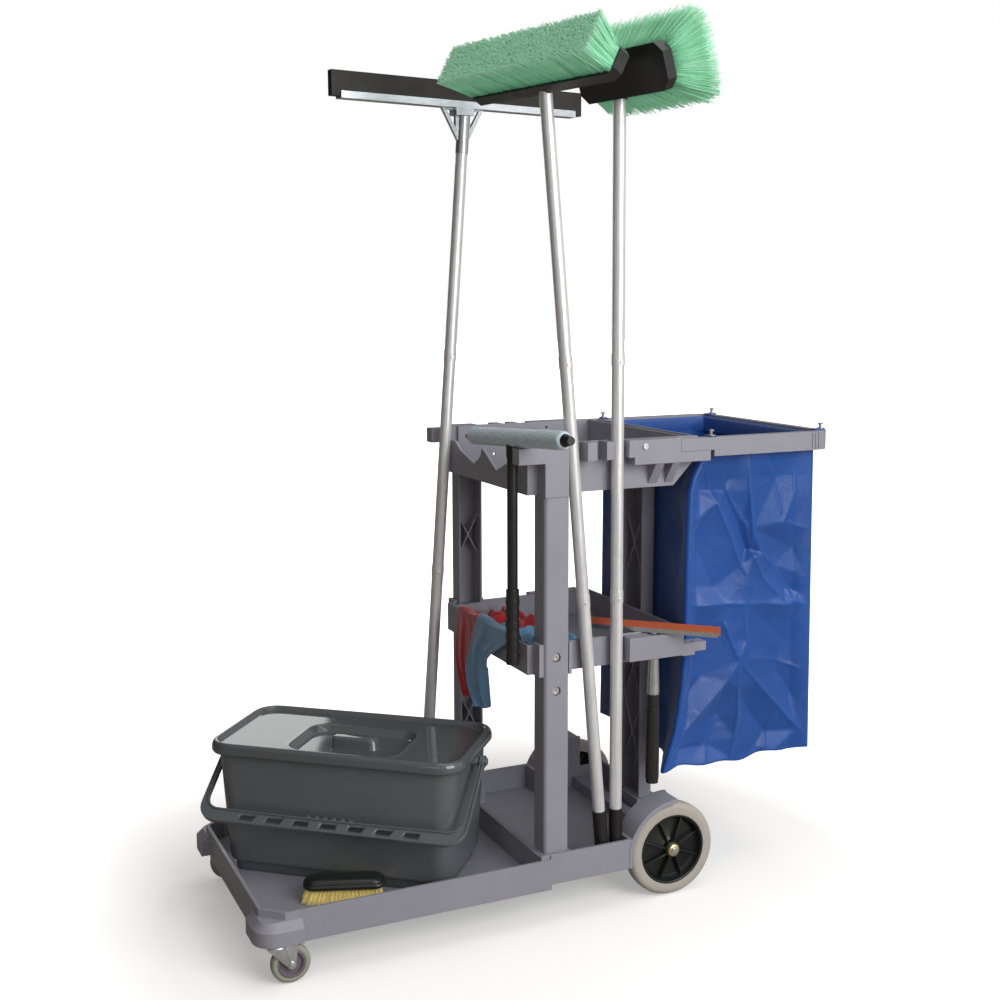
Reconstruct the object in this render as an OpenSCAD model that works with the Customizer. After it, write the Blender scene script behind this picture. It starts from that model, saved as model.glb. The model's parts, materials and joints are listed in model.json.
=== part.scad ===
// Housekeeping cart stocked with long-handled tools, bucket, washer, squeegee and cloths.
// Millimetres. +Z up, floor at Z = 0. The low deck and casters are at the front, along -X;
// the waste bag and the push end are at the rear, along +X. Left of the person pushing is -Y.

/* [Deck] */
// Outside width of the front deck across the rims
deck_width = 508; // [480:1:540]
// Height of the front deck rim above the floor
deck_rim_z = 138; // [125:1:150]
// Height of the front deck floor above the floor
deck_floor_z = 92; // [86:1:100]
// Height of the rear deck rim
rear_rim_z = 146; // [138:1:155]

/* [Wheels] */
// Diameter of the rear wheels
rear_wheel_d = 200; // [180:1:220]
// Diameter of the caster wheels
caster_d = 75; // [65:1:76]
// Diameter of the rear axle rod
axle_d = 12; // [10:0.5:14]
// Radial running clearance of every wheel and pivot
run_gap = 0.05; // [0.02:0.01:0.1]

/* [Uprights and trays] */
// Height of the top of the uprights
upright_top_z = 865; // [840:1:890]
// Height of the top tray rim
tray_rim_z = 967; // [940:1:990]
// Half width of the outer faces of the uprights
upright_y = 235; // [225:1:245]
// Height of the middle tray rim
mid_rim_z = 569; // [540:1:600]

/* [Long tools] */
// Outside diameter of the tool poles
pole_d = 25; // [22:0.5:28]
// Length of the brush head on the forward pole
brush_long = 406; // [350:2:450]
// Length of the brush head on the rear pole
brush_short = 246; // [220:2:280]
// Length of the floor squeegee blade
squeegee_length = 614; // [450:1:700]

/* [Bucket] */
// Length of the bucket lid
lid_length = 535; // [500:1:560]
// Width of the bucket lid
lid_width = 278; // [250:1:300]

/* [Hidden] */
$fn = 48;
// the output origin, measured in the cart's own frame
origin_x = -18.26;
origin_y = -89.3099;
half_deck = deck_width / 2;
wheel_r = rear_wheel_d / 2;
caster_r = caster_d / 2;
axle_r = axle_d / 2;
pole_r = pole_d / 2;
axle_x = 250.6;

NODES = [
  "front_deck", "rear_deck", "left_upright", "right_upright", "rear_upright",
  "middle_tray", "top_tray", "bag_rail", "bag_hooks", "frame_bolts", "tray_screws",
  "caster_plates", "left_fork", "right_fork", "left_caster_axle", "right_caster_axle",
  "left_caster_hub", "right_caster_hub", "left_caster_tyre", "right_caster_tyre",
  "rear_axle", "axle_caps",
  "left_wheel_hub", "right_wheel_hub", "left_wheel_tyre", "right_wheel_tyre",
  "waste_bag", "bag_eyelets",
  "bucket_body", "bucket_lid", "bucket_bail",
  "hand_brush_block", "hand_brush_bristles",
  "squeegee_pole_tubes", "squeegee_pole_collars", "squeegee_pole_boot",
  "squeegee_head", "squeegee_rubber",
  "long_brush_tubes", "long_brush_collars", "long_brush_boot",
  "long_brush_block", "long_brush_bristles",
  "short_brush_tubes", "short_brush_collars", "short_brush_boot",
  "short_brush_block", "short_brush_bristles",
  "washer_handle", "washer_bar", "washer_sleeve",
  "window_squeegee_grip", "window_squeegee_ferrule",
  "window_squeegee_channel", "window_squeegee_blade",
  "red_cloth", "blue_cloth"
];
node = "all";

PLASTIC = [0.50, 0.49, 0.54];
ALU = [0.72, 0.73, 0.72];
BLACK = [0.05, 0.05, 0.05];
GREEN = [0.42, 0.80, 0.62];
ZINC = [0.62, 0.64, 0.66];
CASTER_HUB = [0.42, 0.38, 0.43];
CASTER_TYRE = [0.55, 0.58, 0.50];
WHEEL_TYRE = [0.62, 0.60, 0.56];
AXLE_CAP = [0.72, 0.66, 0.38];
BAG_BLUE = [0.10, 0.20, 0.52];
EYELET = [0.55, 0.50, 0.36];
BUCKET_GREY = [0.22, 0.24, 0.25];
STRAW = [0.68, 0.62, 0.38];
FLEECE = [0.45, 0.60, 0.68];
BLADE_ORANGE = [0.78, 0.32, 0.16];
CLOTH_RED = [0.62, 0.10, 0.12];
CLOTH_BLUE = [0.28, 0.45, 0.66];

// ---- shared helpers
module row() translate([-origin_x, -origin_y, 0]) children();
module flip_y() mirror([0, 1, 0]) children();
module both() {
  children();
  flip_y() children();
}
// profile drawn in (y, z), running from x0 to x1
module along_x(x0, x1)
  translate([x0, 0, 0]) rotate([90, 0, 90]) linear_extrude(height = x1 - x0) children();
// profile drawn in (x, z), running from y0 to y1
module along_y(y0, y1)
  translate([0, y1, 0]) rotate([90, 0, 0]) linear_extrude(height = y1 - y0) children();
// block between its lowest and highest corners
module box(low, high) translate(low) cube(high - low);
module rod_y(radius, y0, y1, x, z)
  translate([x, y0, z]) rotate([-90, 0, 0]) cylinder(r = radius, h = y1 - y0);
module rounded_rect(length, width, radius) {
  square([length - 2 * radius, width], center = true);
  square([length, width - 2 * radius], center = true);
  for (sx = [-1, 1], sy = [-1, 1])
    translate([sx * (length / 2 - radius), sy * (width / 2 - radius)]) circle(r = radius);
}

// ---- front deck: shallow tray moulding with caster pads under its two front corners
deck_wall = 7;
caster_x = -604;
caster_y = 247;
// pad corner centre, and the edges of the pad
pad_x = -605;
pad_y = 232;
pad_r = 40;
pad_rear_x = -556;
pad_inner_y = 188;
pad_z = 82;
pad_top_z = 110;
pad_slope = 14;
pad_peak_z = pad_top_z + pad_slope;

module deck_plan(inset) {
  front_x = -628 + inset;
  front_y = 217 - inset * 0.42;
  chamfer_x = -587 + inset * 0.42;
  side_y = half_deck - inset;
  polygon([
    [chamfer_x, -side_y], [-42, -side_y], [-42, side_y],
    [chamfer_x, side_y], [front_x, front_y], [front_x, -front_y]
  ]);
}
module deck_well()
  translate([0, 0, deck_floor_z]) linear_extrude(height = 100) deck_plan(deck_wall);
module caster_pad() difference() {
  union() {
    box([pad_x - pad_r, pad_inner_y, pad_z], [pad_rear_x, pad_y, pad_top_z]);
    box([pad_x, pad_inner_y, pad_z], [pad_rear_x, pad_y + pad_r, pad_top_z]);
    translate([pad_x, pad_y, pad_z]) cylinder(r = pad_r, h = pad_top_z - pad_z);
    translate([pad_x, pad_y, pad_top_z])
      cylinder(r1 = pad_r, r2 = pad_r - pad_slope, h = pad_slope);
    along_x(pad_x, pad_rear_x) polygon([
      [240, pad_top_z], [pad_y + pad_r, pad_top_z], [257, pad_peak_z], [240, pad_peak_z]
    ]);
    along_y(pad_inner_y, pad_y) polygon([
      [pad_x - pad_r, pad_top_z], [-610, pad_top_z], [-610, pad_peak_z], [-631, pad_peak_z]
    ]);
  }
  deck_well();
  // pocket that takes the caster plate
  translate([caster_x, caster_y, 81]) linear_extrude(height = 3) rounded_rect(56, 46, 21);
}
module front_deck() color(PLASTIC) row() {
  difference() {
    union() {
      difference() {
        translate([0, 0, 76]) linear_extrude(height = deck_rim_z - 76) deck_plan(0);
        deck_well();
        translate([0, 0, 70]) linear_extrude(height = 18) deck_plan(deck_wall);
        // rear edge left open inside the side walls
        box([-62.5, -half_deck + deck_wall, 60], [0, half_deck - deck_wall, 200]);
      }
      // ribs under the floor
      for (y = [-150, -75, 0, 75, 150])
        box([-621, y - 1.5, 78], [-64, y + 1.5, 88.5]);
      for (x = [-500, -380, -260, -140])
        box([x - 1.5, -half_deck + 6, 78], [x + 1.5, half_deck - 6, 88.5]);
    }
    // room for the pads
    both() box([-650, 186, 70], [-554, 280, 84]);
    both() box([-646, 190, 80], [-558, 271, 110]);
  }
  both() caster_pad();
}

// ---- rear deck: deeper moulding with wheel arches, upright posts and axle tunnel
rear_wall_z = 84; // bottom of the walls
rear_wall_top = 142;
rear_floor_z = 89;
rear_floor_top = 93;
front_x = -62;
narrow_x = 139; // the deck narrows between the wheels behind this
rear_x = 325;
narrow_y = 196;
bay_y = 245;
step_x = narrow_x + deck_wall;

module arch_wall(y0, y1, radius) intersection() {
  rod_y(radius, y0, y1, axle_x, wheel_r);
  box([narrow_x, y0 - 1, rear_wall_z], [257, y1 + 1, 230]);
}
module rear_deck() color(PLASTIC) row() difference() {
  union() {
    // floor and walls
    box([front_x, -246.5, rear_floor_z], [-42, 246.5, rear_floor_top]);
    box([-42, -bay_y, rear_floor_z], [step_x, bay_y, rear_floor_top]);
    box([narrow_x, -narrow_y, rear_floor_z], [rear_x, narrow_y, rear_floor_top]);
    box([front_x, -246.5, rear_wall_z], [front_x + deck_wall, 246.5, rear_wall_top]);
    both() box([front_x, 242, rear_wall_z], [-41, 246.5, rear_rim_z]);
    both() box([-42, 242, rear_wall_z], [step_x, 249, rear_rim_z]);
    both() box([narrow_x, 190, rear_wall_z], [rear_x, narrow_y, rear_wall_top]);
    both() box([narrow_x, 190, rear_wall_z], [step_x, 249, rear_rim_z]);
    box([rear_x - deck_wall, -narrow_y, rear_wall_z], [rear_x, narrow_y, rear_wall_top]);
    // posts under the uprights
    both() box([-56, 186, 92], [9, 243, 143]);
    box([274, -48, 92], [320, 48, 140]);
    // axle tunnel
    box([236, -193, 92], [265, 193, 118]);
    // arches over the rear wheels
    both() difference() {
      arch_wall(190, 250, 115);
      rod_y(106.5, narrow_y, 251, axle_x, wheel_r);
      box([150, narrow_y, 80], [300, 251, rear_rim_z - 6]);
      translate([axle_x + 2, narrow_y, wheel_r]) cube([60, 60, 130]);
    }
    // stiffening ribs below the floor
    for (y = [-140, -70, 0, 70, 140]) box([-60, y - 1.5, 85], [322, y + 1.5, 90]);
    for (x = [40, 130, 220]) box([x - 1.5, -190, 85], [x + 1.5, 190, 90]);
  }
  // sockets in the posts
  both() box([-44, 197, 110], [-1, 228, 144]);
  // axle hole
  rod_y(axle_r + 0.1, -200, 200, axle_x, wheel_r);
}

// ---- uprights: channel mouldings with crossed ribs in the open side
upright_x = -50; // front face of the side uprights
upright_depth = 55;
upright_inner_y = 190;
upright_foot_z = 143;
upright_corner = 8;
upright_wall = 4;
rear_upright_x = 283;
rear_upright_depth = 34;
rear_upright_half = 40;
rear_upright_z = 140;
rear_upright_top = 870;
rib_depth = 28;
bolt_x = -24;
bolt_r = 4;
bolt_hole_r = 4.1;
// height of each frame bolt, y of the inner end of its shank
bolts = [[478, 207], [546, 183]];

// diagonal ribs of unit depth, crossing at each height in centres
module crossed_ribs(width, height, centres) for (z = centres) translate([0, 0, z]) {
  angle = atan2(height, width);
  length = sqrt(width * width + height * height);
  for (turn = [-angle, angle])
    rotate([0, turn, 0]) translate([-length / 2, 0, -1.4]) cube([length, 1, 2.8]);
}
module side_upright() {
  corner_y = upright_y - upright_corner;
  rear_edge = upright_x + upright_depth;
  difference() {
    union() {
      difference() {
        translate([0, 0, upright_foot_z])
          linear_extrude(height = upright_top_z - upright_foot_z) {
            translate([upright_x, upright_inner_y])
              square([upright_depth, corner_y - upright_inner_y]);
            translate([upright_x + upright_corner, upright_inner_y])
              square([upright_depth - 2 * upright_corner, upright_y - upright_inner_y]);
            for (x = [upright_x + upright_corner, rear_edge - upright_corner])
              translate([x, corner_y]) circle(r = upright_corner);
          }
        box([upright_x + upright_wall, upright_inner_y - 1, upright_foot_z + upright_wall],
            [rear_edge - upright_wall, upright_y - upright_wall, upright_top_z - upright_wall]);
      }
      intersection() {
        translate([upright_x + upright_depth / 2, 0, 0]) scale([1, rib_depth, 1])
          translate([0, 204 / rib_depth, 0]) crossed_ribs(49, 92, [308, 721]);
        box([-47, 200, 146], [2, 232, upright_top_z - 3]);
      }
      // solid block behind the bolts
      box([-47, 206, 462], [2, upright_y - 3, 562]);
    }
    for (bolt = bolts) {
      rod_y(9.5, corner_y, upright_y + 1, bolt_x, bolt[0]);
      rod_y(bolt_hole_r, 180, upright_y, bolt_x, bolt[0]);
    }
  }
}
module left_upright() color(PLASTIC) row() flip_y() side_upright();
module right_upright() color(PLASTIC) row() side_upright();
module rear_upright() color(PLASTIC) row() {
  corner_x = rear_upright_x + rear_upright_depth - upright_corner;
  corner_y = rear_upright_half - upright_corner;
  hollow_y = rear_upright_half - upright_wall;
  difference() {
    translate([0, 0, rear_upright_z])
      linear_extrude(height = rear_upright_top - rear_upright_z) {
        translate([rear_upright_x, -rear_upright_half])
          square([corner_x - rear_upright_x, 2 * rear_upright_half]);
        translate([rear_upright_x, -corner_y]) square([rear_upright_depth, 2 * corner_y]);
        for (y = [-corner_y, corner_y]) translate([corner_x, y]) circle(r = upright_corner);
      }
    box([rear_upright_x - 1, -hollow_y, rear_upright_z + upright_wall],
        [rear_upright_x + rear_upright_depth - upright_wall, hollow_y,
         rear_upright_top - upright_wall]);
  }
  intersection() {
    rotate([0, 0, 90]) translate([0, -315, 0]) scale([1, rib_depth, 1])
      crossed_ribs(75, 146, [281, 432, 712]);
    box([286, -37.2, 142.5], [314.5, 37.2, 867.5]);
  }
}

// ---- middle tray: open tray clamped between the uprights, tool holders on the sides
mid_half = 205;
mid_wall = 6;
mid_front_x = -73;
mid_bottom_z = 509;
window_tool = [207, -220]; // x, y of the window squeegee

module tray_bolt_holes() rod_y(bolt_hole_r, 170, 200, bolt_x, bolts[1][0]);
module middle_tray() color(PLASTIC) row() {
  difference() {
    union() {
      box([mid_front_x, -mid_half, mid_bottom_z], [282.5, mid_half, mid_rim_z]);
      both() {
        // lugs in front of and behind the side uprights
        box([-60, 188, mid_bottom_z], [-50.5, 232, 574]);
        box([5.5, 188, mid_bottom_z], [12, 232, 574]);
        // side holders
        box([139, 204, 519], [266, 240, 567]);
        box([264, 212, 524], [320, 240, 543]);
        box([264, 212, 517], [293, 240, 525]);
      }
    }
    box([mid_front_x + mid_wall, -mid_half + mid_wall, 513], [277, mid_half - mid_wall, 700]);
    // notches around the uprights
    both() box([-50.5, 189.5, 500], [5.5, 240, 700]);
    both() {
      translate([window_tool[0], -window_tool[1], 510]) cylinder(r = 15, h = 70);
      box([145, 210, 518], [188, 234, 561]);
      translate([292, 226, 510]) cylinder(r = 5, h = 50);
      tray_bolt_holes();
    }
  }
  // side walls inside the uprights
  difference() {
    both() box([-62, 180, 510], [16, 189.5, mid_rim_z - 1]);
    both() tray_bolt_holes();
  }
}

// ---- top tray: deep bin with pole slots, front hooks and sockets for the bag rail
top_front_x = -72;
top_rear_x = 306;
top_half = 203.5;
top_inner = 198;
socket_y = 203; // inner face of the side blocks
rail_outer_y = 237.5;
screw_x = 170;
screw_z = 954;
// cut along the front edge (y, z): lower than the sides, with two V cut-outs for handles
front_cut = [
  [197.9, 1000], [197.9, 938], [157, 938], [130, 921], [55, 900], [23, 918], [13, 938],
  [-57, 899], [-101, 917], [-133, 917], [-157, 938], [-197.9, 938], [-197.9, 1000]
];

module top_tray() color(PLASTIC) row() difference() {
  union() {
    difference() {
      along_y(-top_half, top_half) polygon([
        [top_front_x, 867], [257, 867], [top_rear_x, 917],
        [top_rear_x, tray_rim_z], [top_front_x, tray_rim_z]
      ]);
      // bin, and the narrow pocket behind it
      along_y(-top_inner, top_inner)
        polygon([[-66, 871], [255, 871], [277, 893], [277, 1000], [-66, 1000]]);
      along_y(-top_inner, top_inner) polygon([[283, 904], [300, 921], [300, 1000], [283, 1000]]);
      along_x(-80, -60) polygon(front_cut);
    }
    both() {
      // sockets on top of the side uprights
      box([upright_x, upright_inner_y, upright_top_z], [1, 237, tray_rim_z]);
      box([upright_x, upright_inner_y, upright_top_z], [5, 205, tray_rim_z]);
      // front hooks
      box([-106, 208, 931], [-49, 237, 962]);
      // blocks that make the pole slots
      box([42, socket_y, 931], [63, 237, tray_rim_z]);
      box([84, socket_y, 931], [101, 237, tray_rim_z]);
      // sockets for the bag rail
      box([134, socket_y, 933], [148, rail_outer_y, tray_rim_z]);
      box([147, socket_y, 918], [253.5, rail_outer_y, tray_rim_z]);
      box([253, 214, 918], [324, rail_outer_y, 938.5]);
      box([253, socket_y, 918], [top_rear_x, 217, tray_rim_z]);
      // gussets below them
      for (x = [[197, 217], [236, 254]])
        along_x(x[0], x[1]) polygon([[socket_y, 919], [237, 919], [socket_y, 873]]);
    }
    // socket on top of the rear upright
    box([rear_upright_x, -44, 870.5], [318, 44, 962]);
  }
  both() rod_y(3.1, 190, 240, screw_x, screw_z);
  both() rod_y(3.1, 190, 240, 40, 900);
  // hollows inside the sockets
  box([287, -40, 860], [314, 40, 955]);
  both() box([-46, 207, 860], [-3, 233, 955]);
}

// ---- bag rail: U-shaped rail, open below, with rounded rear corners
rail_z = 926;
rail_top_z = 965;
rail_width = 20;
rail_wall = 3;
rail_rear_x = 629;
rail_corner_r = 35;
rail_corner_x = rail_rear_x - rail_corner_r;
rail_corner_y = rail_outer_y - rail_corner_r;
rail_inner_y = rail_outer_y - rail_width;
hook_at = [[331, 226], [619, 207]]; // x, y on the right side

module rail_half() difference() {
  union() {
    box([254, rail_inner_y, 939], [334, rail_outer_y, rail_top_z]);
    box([333, rail_inner_y, rail_z], [rail_corner_x, rail_outer_y, rail_top_z]);
    translate([rail_corner_x, rail_corner_y, rail_z]) difference() {
      cylinder(r = rail_corner_r, h = rail_top_z - rail_z, $fn = 64);
      translate([0, 0, -1]) cylinder(r = rail_corner_r - rail_width, h = 100, $fn = 64);
      translate([-40, -40, -1]) cube([40, 80, 100]);
      translate([-40, -80, -1]) cube([80, 80, 100]);
    }
    box([rail_rear_x - rail_width, 0, rail_z], [rail_rear_x, rail_corner_y, rail_top_z]);
    // upright ridges on the outer face
    for (x = [576, 584, 592]) box([x, 237, rail_z + 4], [x + 2.5, 239, 963]);
  }
  box([336, rail_inner_y + rail_wall, rail_z - 1],
      [rail_corner_x, rail_outer_y - rail_wall, rail_top_z - rail_wall]);
  box([rail_rear_x - rail_width + rail_wall, -1, rail_z - 1],
      [rail_rear_x - rail_wall, rail_corner_y, rail_top_z - rail_wall]);
}
module bag_rail() color(PLASTIC) row() both() rail_half();
module bag_hooks() color(PLASTIC) row() both()
  for (hook = hook_at) translate([hook[0], hook[1], rail_top_z]) {
    cylinder(r = 3, h = 15, $fn = 24);
    translate([-3.5, -3, 11]) cube([9, 6, 3.2]);
  }

// ---- fasteners
module frame_bolts() color(ZINC) row() both() for (bolt = bolts) {
  z = bolt[0];
  head_y = upright_y - 8;
  difference() {
    rod_y(8, head_y, upright_y - 3.5, bolt_x, z);
    // hexagon recess
    translate([bolt_x, upright_y - 5, z]) rotate([-90, 0, 0]) cylinder(r = 3.4, h = 5, $fn = 6);
  }
  rod_y(bolt_r, bolt[1], head_y, bolt_x, z);
}
module tray_screws() color(ZINC) row() both() {
  difference() {
    rod_y(6, rail_outer_y, rail_outer_y + 3, screw_x, screw_z);
    // driver slot
    box([screw_x - 5, 239, screw_z - 0.8], [screw_x + 5, 241, screw_z + 0.8]);
  }
  rod_y(3, 206, rail_outer_y, screw_x, screw_z);
}

// ---- swivel casters
caster_trail = 26;
caster_pin_r = 5;
caster_axle_r = 4;
caster_rim_r = 27;
fork_y = 13.5; // outer face of a fork leg, from the caster middle
fork_z = 75.8;
fork_sheet = 2.5;
fork_top_z = fork_z + fork_sheet;

module caster_plates() color(ZINC) row() both() translate([caster_x, caster_y, 0]) {
  translate([0, 0, 81.5]) linear_extrude(height = 2.5) rounded_rect(54, 44, 20);
  translate([0, 0, 73]) cylinder(r = caster_pin_r, h = 8.5);
  translate([0, 0, 73]) cylinder(r = 8, h = 2.7);
}
module fork() translate([caster_x, caster_y, 0]) difference() {
  union() {
    translate([0, 0, fork_z]) cylinder(r = 23, h = fork_sheet);
    translate([0, 0, fork_top_z]) cylinder(r1 = 22, r2 = 20, h = 3);
    translate([-14, -fork_y, fork_z]) cube([44, 2 * fork_y, fork_sheet]);
    both() difference() {
      translate([0, fork_y, 0]) rotate([90, 0, 0]) linear_extrude(height = 2.2) polygon([
        [-20, fork_top_z], [32, fork_top_z], [36, 40],
        [caster_trail + 7, 30], [caster_trail - 6, 30]
      ]);
      translate([caster_trail, 0, caster_r]) rotate([-90, 0, 0])
        cylinder(r = caster_axle_r + run_gap, h = 20);
    }
  }
  translate([0, 0, 60]) cylinder(r = caster_pin_r + run_gap, h = 40);
}
module left_fork() color(ZINC) row() flip_y() fork();
module right_fork() color(ZINC) row() fork();

module at_caster_wheel(y = caster_y)
  translate([caster_x + caster_trail, y, caster_r]) children();
module caster_axle() at_caster_wheel() {
  rotate([90, 0, 0]) cylinder(r = caster_axle_r, h = 34, center = true);
  both() translate([0, fork_y, 0]) rotate([-90, 0, 0]) cylinder(r = 6.5, h = 3);
}
module left_caster_axle() color(ZINC) row() flip_y() caster_axle();
module right_caster_axle() color(ZINC) row() caster_axle();

module caster_hub() at_caster_wheel() rotate([90, 0, 0]) difference() {
  union() {
    cylinder(r = 9, h = 21.5, center = true);
    cylinder(r = caster_rim_r, h = 8, center = true);
    difference() {
      cylinder(r = caster_rim_r, h = 18, center = true);
      cylinder(r = 23, h = 19, center = true);
    }
  }
  cylinder(r = caster_axle_r + run_gap, h = 30, center = true);
}
module left_caster_hub() color(CASTER_HUB) row() flip_y() caster_hub();
module right_caster_hub() color(CASTER_HUB) row() caster_hub();

module tyre(inner, outer, width, bevel) {
  side = width / 2;
  rotate([90, 0, 0]) rotate_extrude($fn = 72) polygon([
    [inner, -side], [outer - bevel, -side],
    [outer - bevel * 0.3, -side + bevel * 0.3], [outer, -side + bevel],
    [outer, side - bevel], [outer - bevel * 0.3, side - bevel * 0.3],
    [outer - bevel, side], [inner, side]
  ]);
}
module caster_tyre() tyre(caster_rim_r, caster_r, 20, 4);
module left_caster_tyre() color(CASTER_TYRE) row() at_caster_wheel(-caster_y) caster_tyre();
module right_caster_tyre() color(CASTER_TYRE) row() at_caster_wheel() caster_tyre();

// ---- rear axle and fixed wheels
wheel_y = 218;
wheel_rim_r = 75;

module rear_axle() color(ZINC) row() rod_y(axle_r, -244, 244, axle_x, wheel_r);
module axle_caps() color(AXLE_CAP) row() both() translate([axle_x, 0, wheel_r]) difference() {
  union() {
    translate([0, 237, 0]) rotate([-90, 0, 0]) cylinder(r = 13, h = 3);
    translate([0, 240, 0]) rotate([-90, 0, 0]) cylinder(r1 = 13, r2 = 8, h = 6);
  }
  translate([0, 230, 0]) rotate([-90, 0, 0]) cylinder(r = axle_r, h = 14);
}
module at_wheel(y = wheel_y) translate([axle_x, y, wheel_r]) children();
module wheel_hub() at_wheel() rotate([90, 0, 0]) difference() {
  union() {
    cylinder(r = 17, h = 37, center = true);
    difference() {
      cylinder(r = wheel_rim_r, h = 34, center = true, $fn = 72);
      cylinder(r = 70, h = 40, center = true, $fn = 72);
    }
    // disc and eight spokes
    translate([0, 0, 3]) cylinder(r = 71, h = 5, center = true, $fn = 72);
    for (i = [0:7]) rotate([0, 0, 22.5 + i * 45]) translate([14, -1.5, -13]) cube([58, 3, 26]);
  }
  cylinder(r = axle_r + run_gap, h = 60, center = true);
}
module wheel_tyre() tyre(wheel_rim_r, wheel_r, 36, 7);
module left_wheel_hub() color(BLACK) row() flip_y() wheel_hub();
module right_wheel_hub() color(BLACK) row() wheel_hub();
module left_wheel_tyre() color(WHEEL_TYRE) row() at_wheel(-wheel_y) wheel_tyre();
module right_wheel_tyre() color(WHEEL_TYRE) row() at_wheel() wheel_tyre();

// ---- waste bag: open-topped soft bag hung from the rail by eyelets
tab_top_z = 967.5;

module at_eyelets(z) for (hook = hook_at) translate([hook[0] + 1, hook[1], z]) children();
module waste_bag() color(BAG_BLUE) row() {
  difference() {
    hull() {
      box([322, -213, 956], [604, 213, 957]);
      box([319.5, -206, 262], [605, 206, 264]);
    }
    hull() {
      box([325, -210, 957], [601, 210, 960]);
      box([322.5, -203, 265], [602, 203, 266]);
    }
  }
  // eyelet tabs, folded over the rail
  both() difference() {
    union() {
      box([324, 209.5, 945], [341, 212, tab_top_z]);
      box([324, 209.5, 965.5], [341, 236, tab_top_z]);
      box([600.5, 198, 945], [603, 211, tab_top_z]);
      box([600.5, 198, 965.5], [628.5, 216, tab_top_z]);
    }
    at_eyelets(960) cylinder(r = 6, h = 10);
  }
}
module bag_eyelets() color(EYELET) row() both() at_eyelets(tab_top_z) difference() {
  cylinder(r = 8.5, h = 1.5);
  translate([0, 0, -1]) cylinder(r = 6, h = 4);
}

// ---- bucket with lid and bail, standing askew on the front deck
bail_pivot_z = 238;
bail_pin_r = 5;
bail_tilt = 37;
bail_reach = 182;

module at_bucket() translate([-362, 15, deck_floor_z]) rotate([0, 0, -40]) children();
module corner_posts(length, width, radius, z) for (sx = [-1, 1], sy = [-1, 1])
  translate([sx * (length / 2 - radius), sy * (width / 2 - radius), z])
    cylinder(r = radius, h = 1, $fn = 32);
// tapered bucket shape, inset from the outer face
module bucket_taper(inset, bottom_z, top_z) hull() {
  corner_posts(478 - 2 * inset, 232 - 2 * inset, 34 - inset, bottom_z);
  corner_posts(505 - 2 * inset, 250 - 2 * inset, 40 - inset, top_z);
}
module bucket_cavity() bucket_taper(3, 23, 250);
module bucket_body() color(BUCKET_GREY) row() at_bucket() {
  difference() {
    union() {
      bucket_taper(0, 20, 244);
      // foot ring
      difference() {
        linear_extrude(height = 21) rounded_rect(458, 216, 27);
        translate([0, 0, -1]) linear_extrude(height = 19) rounded_rect(446, 204, 21);
      }
      // rim
      translate([0, 0, 243]) linear_extrude(height = 6.5) rounded_rect(521, 266, 46);
    }
    bucket_cavity();
  }
  // bail pivots
  for (side = [-1, 1]) difference() {
    translate([side * 247, 0, bail_pivot_z]) rotate([0, side * 90, 0]) union() {
      cylinder(r = 9.5, h = 21);
      cylinder(r = bail_pin_r, h = 34.5);
      translate([0, 0, 34.5]) cylinder(r = 8, h = 2.5);
    }
    bucket_cavity();
  }
}
// block with the outline of the lid recess, grown all round
module lid_recess(z, height, grow) translate([8, -21, z]) linear_extrude(height = height)
  rounded_rect(228 + 2 * grow, 158 + 2 * grow, 30 + grow);
module bucket_lid() color(BUCKET_GREY) row() at_bucket() {
  difference() {
    translate([0, 0, 250]) linear_extrude(height = 25) rounded_rect(lid_length, lid_width, 50);
    translate([0, 0, 249]) linear_extrude(height = 9) rounded_rect(523, 268, 47);
    translate([0, 0, 257]) linear_extrude(height = 7) rounded_rect(500, 246, 40);
    translate([0, 0, 268]) linear_extrude(height = 10) rounded_rect(505, 248, 38);
    lid_recess(255, 30, 2);
  }
  // hand recess and grip
  difference() {
    lid_recess(250, 18, 4);
    lid_recess(253, 30, 0);
  }
  translate([12, -21, 252]) linear_extrude(height = 20) rounded_rect(104, 38, 13);
}
module bucket_bail() color(BUCKET_GREY) row() at_bucket()
  translate([0, 0, bail_pivot_z]) rotate([180 + bail_tilt, 0, 0]) difference() {
    union() {
      // flat U in the plane of the bail: slim arms and a wide slotted grip
      translate([0, 0, -5]) linear_extrude(height = 10) difference() {
        union() {
          translate([-281, 0]) square([562, bail_reach - 26]);
          translate([-241, bail_reach - 27]) square([482, 41]);
          for (side = [-1, 1]) translate([side * 241, bail_reach - 26]) circle(r = 40);
        }
        translate([-270.2, -1]) square([540.4, bail_reach - 45]);
        translate([-240.2, bail_reach - 47]) square([480.4, 31]);
        for (side = [-1, 1]) translate([side * 240.2, bail_reach - 46]) circle(r = 30);
      }
      // pivot eyes
      for (side = [-1, 1]) translate([side * 275.6, 0, 0]) rotate([0, 90, 0])
        cylinder(r = 12, h = 10.8, center = true);
    }
    rotate([0, 90, 0]) cylinder(r = bail_pin_r + run_gap, h = 600, center = true);
    // row of slots through the grip
    for (i = [-3:3]) translate([i * 58, bail_reach - 1, -10]) {
      translate([-11, -5, 0]) cube([22, 10, 30]);
      for (side = [-1, 1]) translate([side * 11, 0, 0]) cylinder(r = 5, h = 30, $fn = 24);
    }
  }

// ---- hand scrubbing brush
module at_scrub() translate([-440, -150, deck_floor_z]) rotate([0, 0, -20]) children();
module hand_brush_block() color(BLACK) row() at_scrub() {
  translate([0, 0, 28]) linear_extrude(height = 12) rounded_rect(160, 60, 22);
  translate([0, 0, 40]) linear_extrude(height = 10) rounded_rect(146, 44, 18);
}
module hand_brush_bristles() color(STRAW) row() at_scrub() hull() {
  translate([-72, -24, 27]) cube([144, 48, 1]);
  translate([-77, -28, 0.2]) cube([154, 56, 1]);
}

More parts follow.
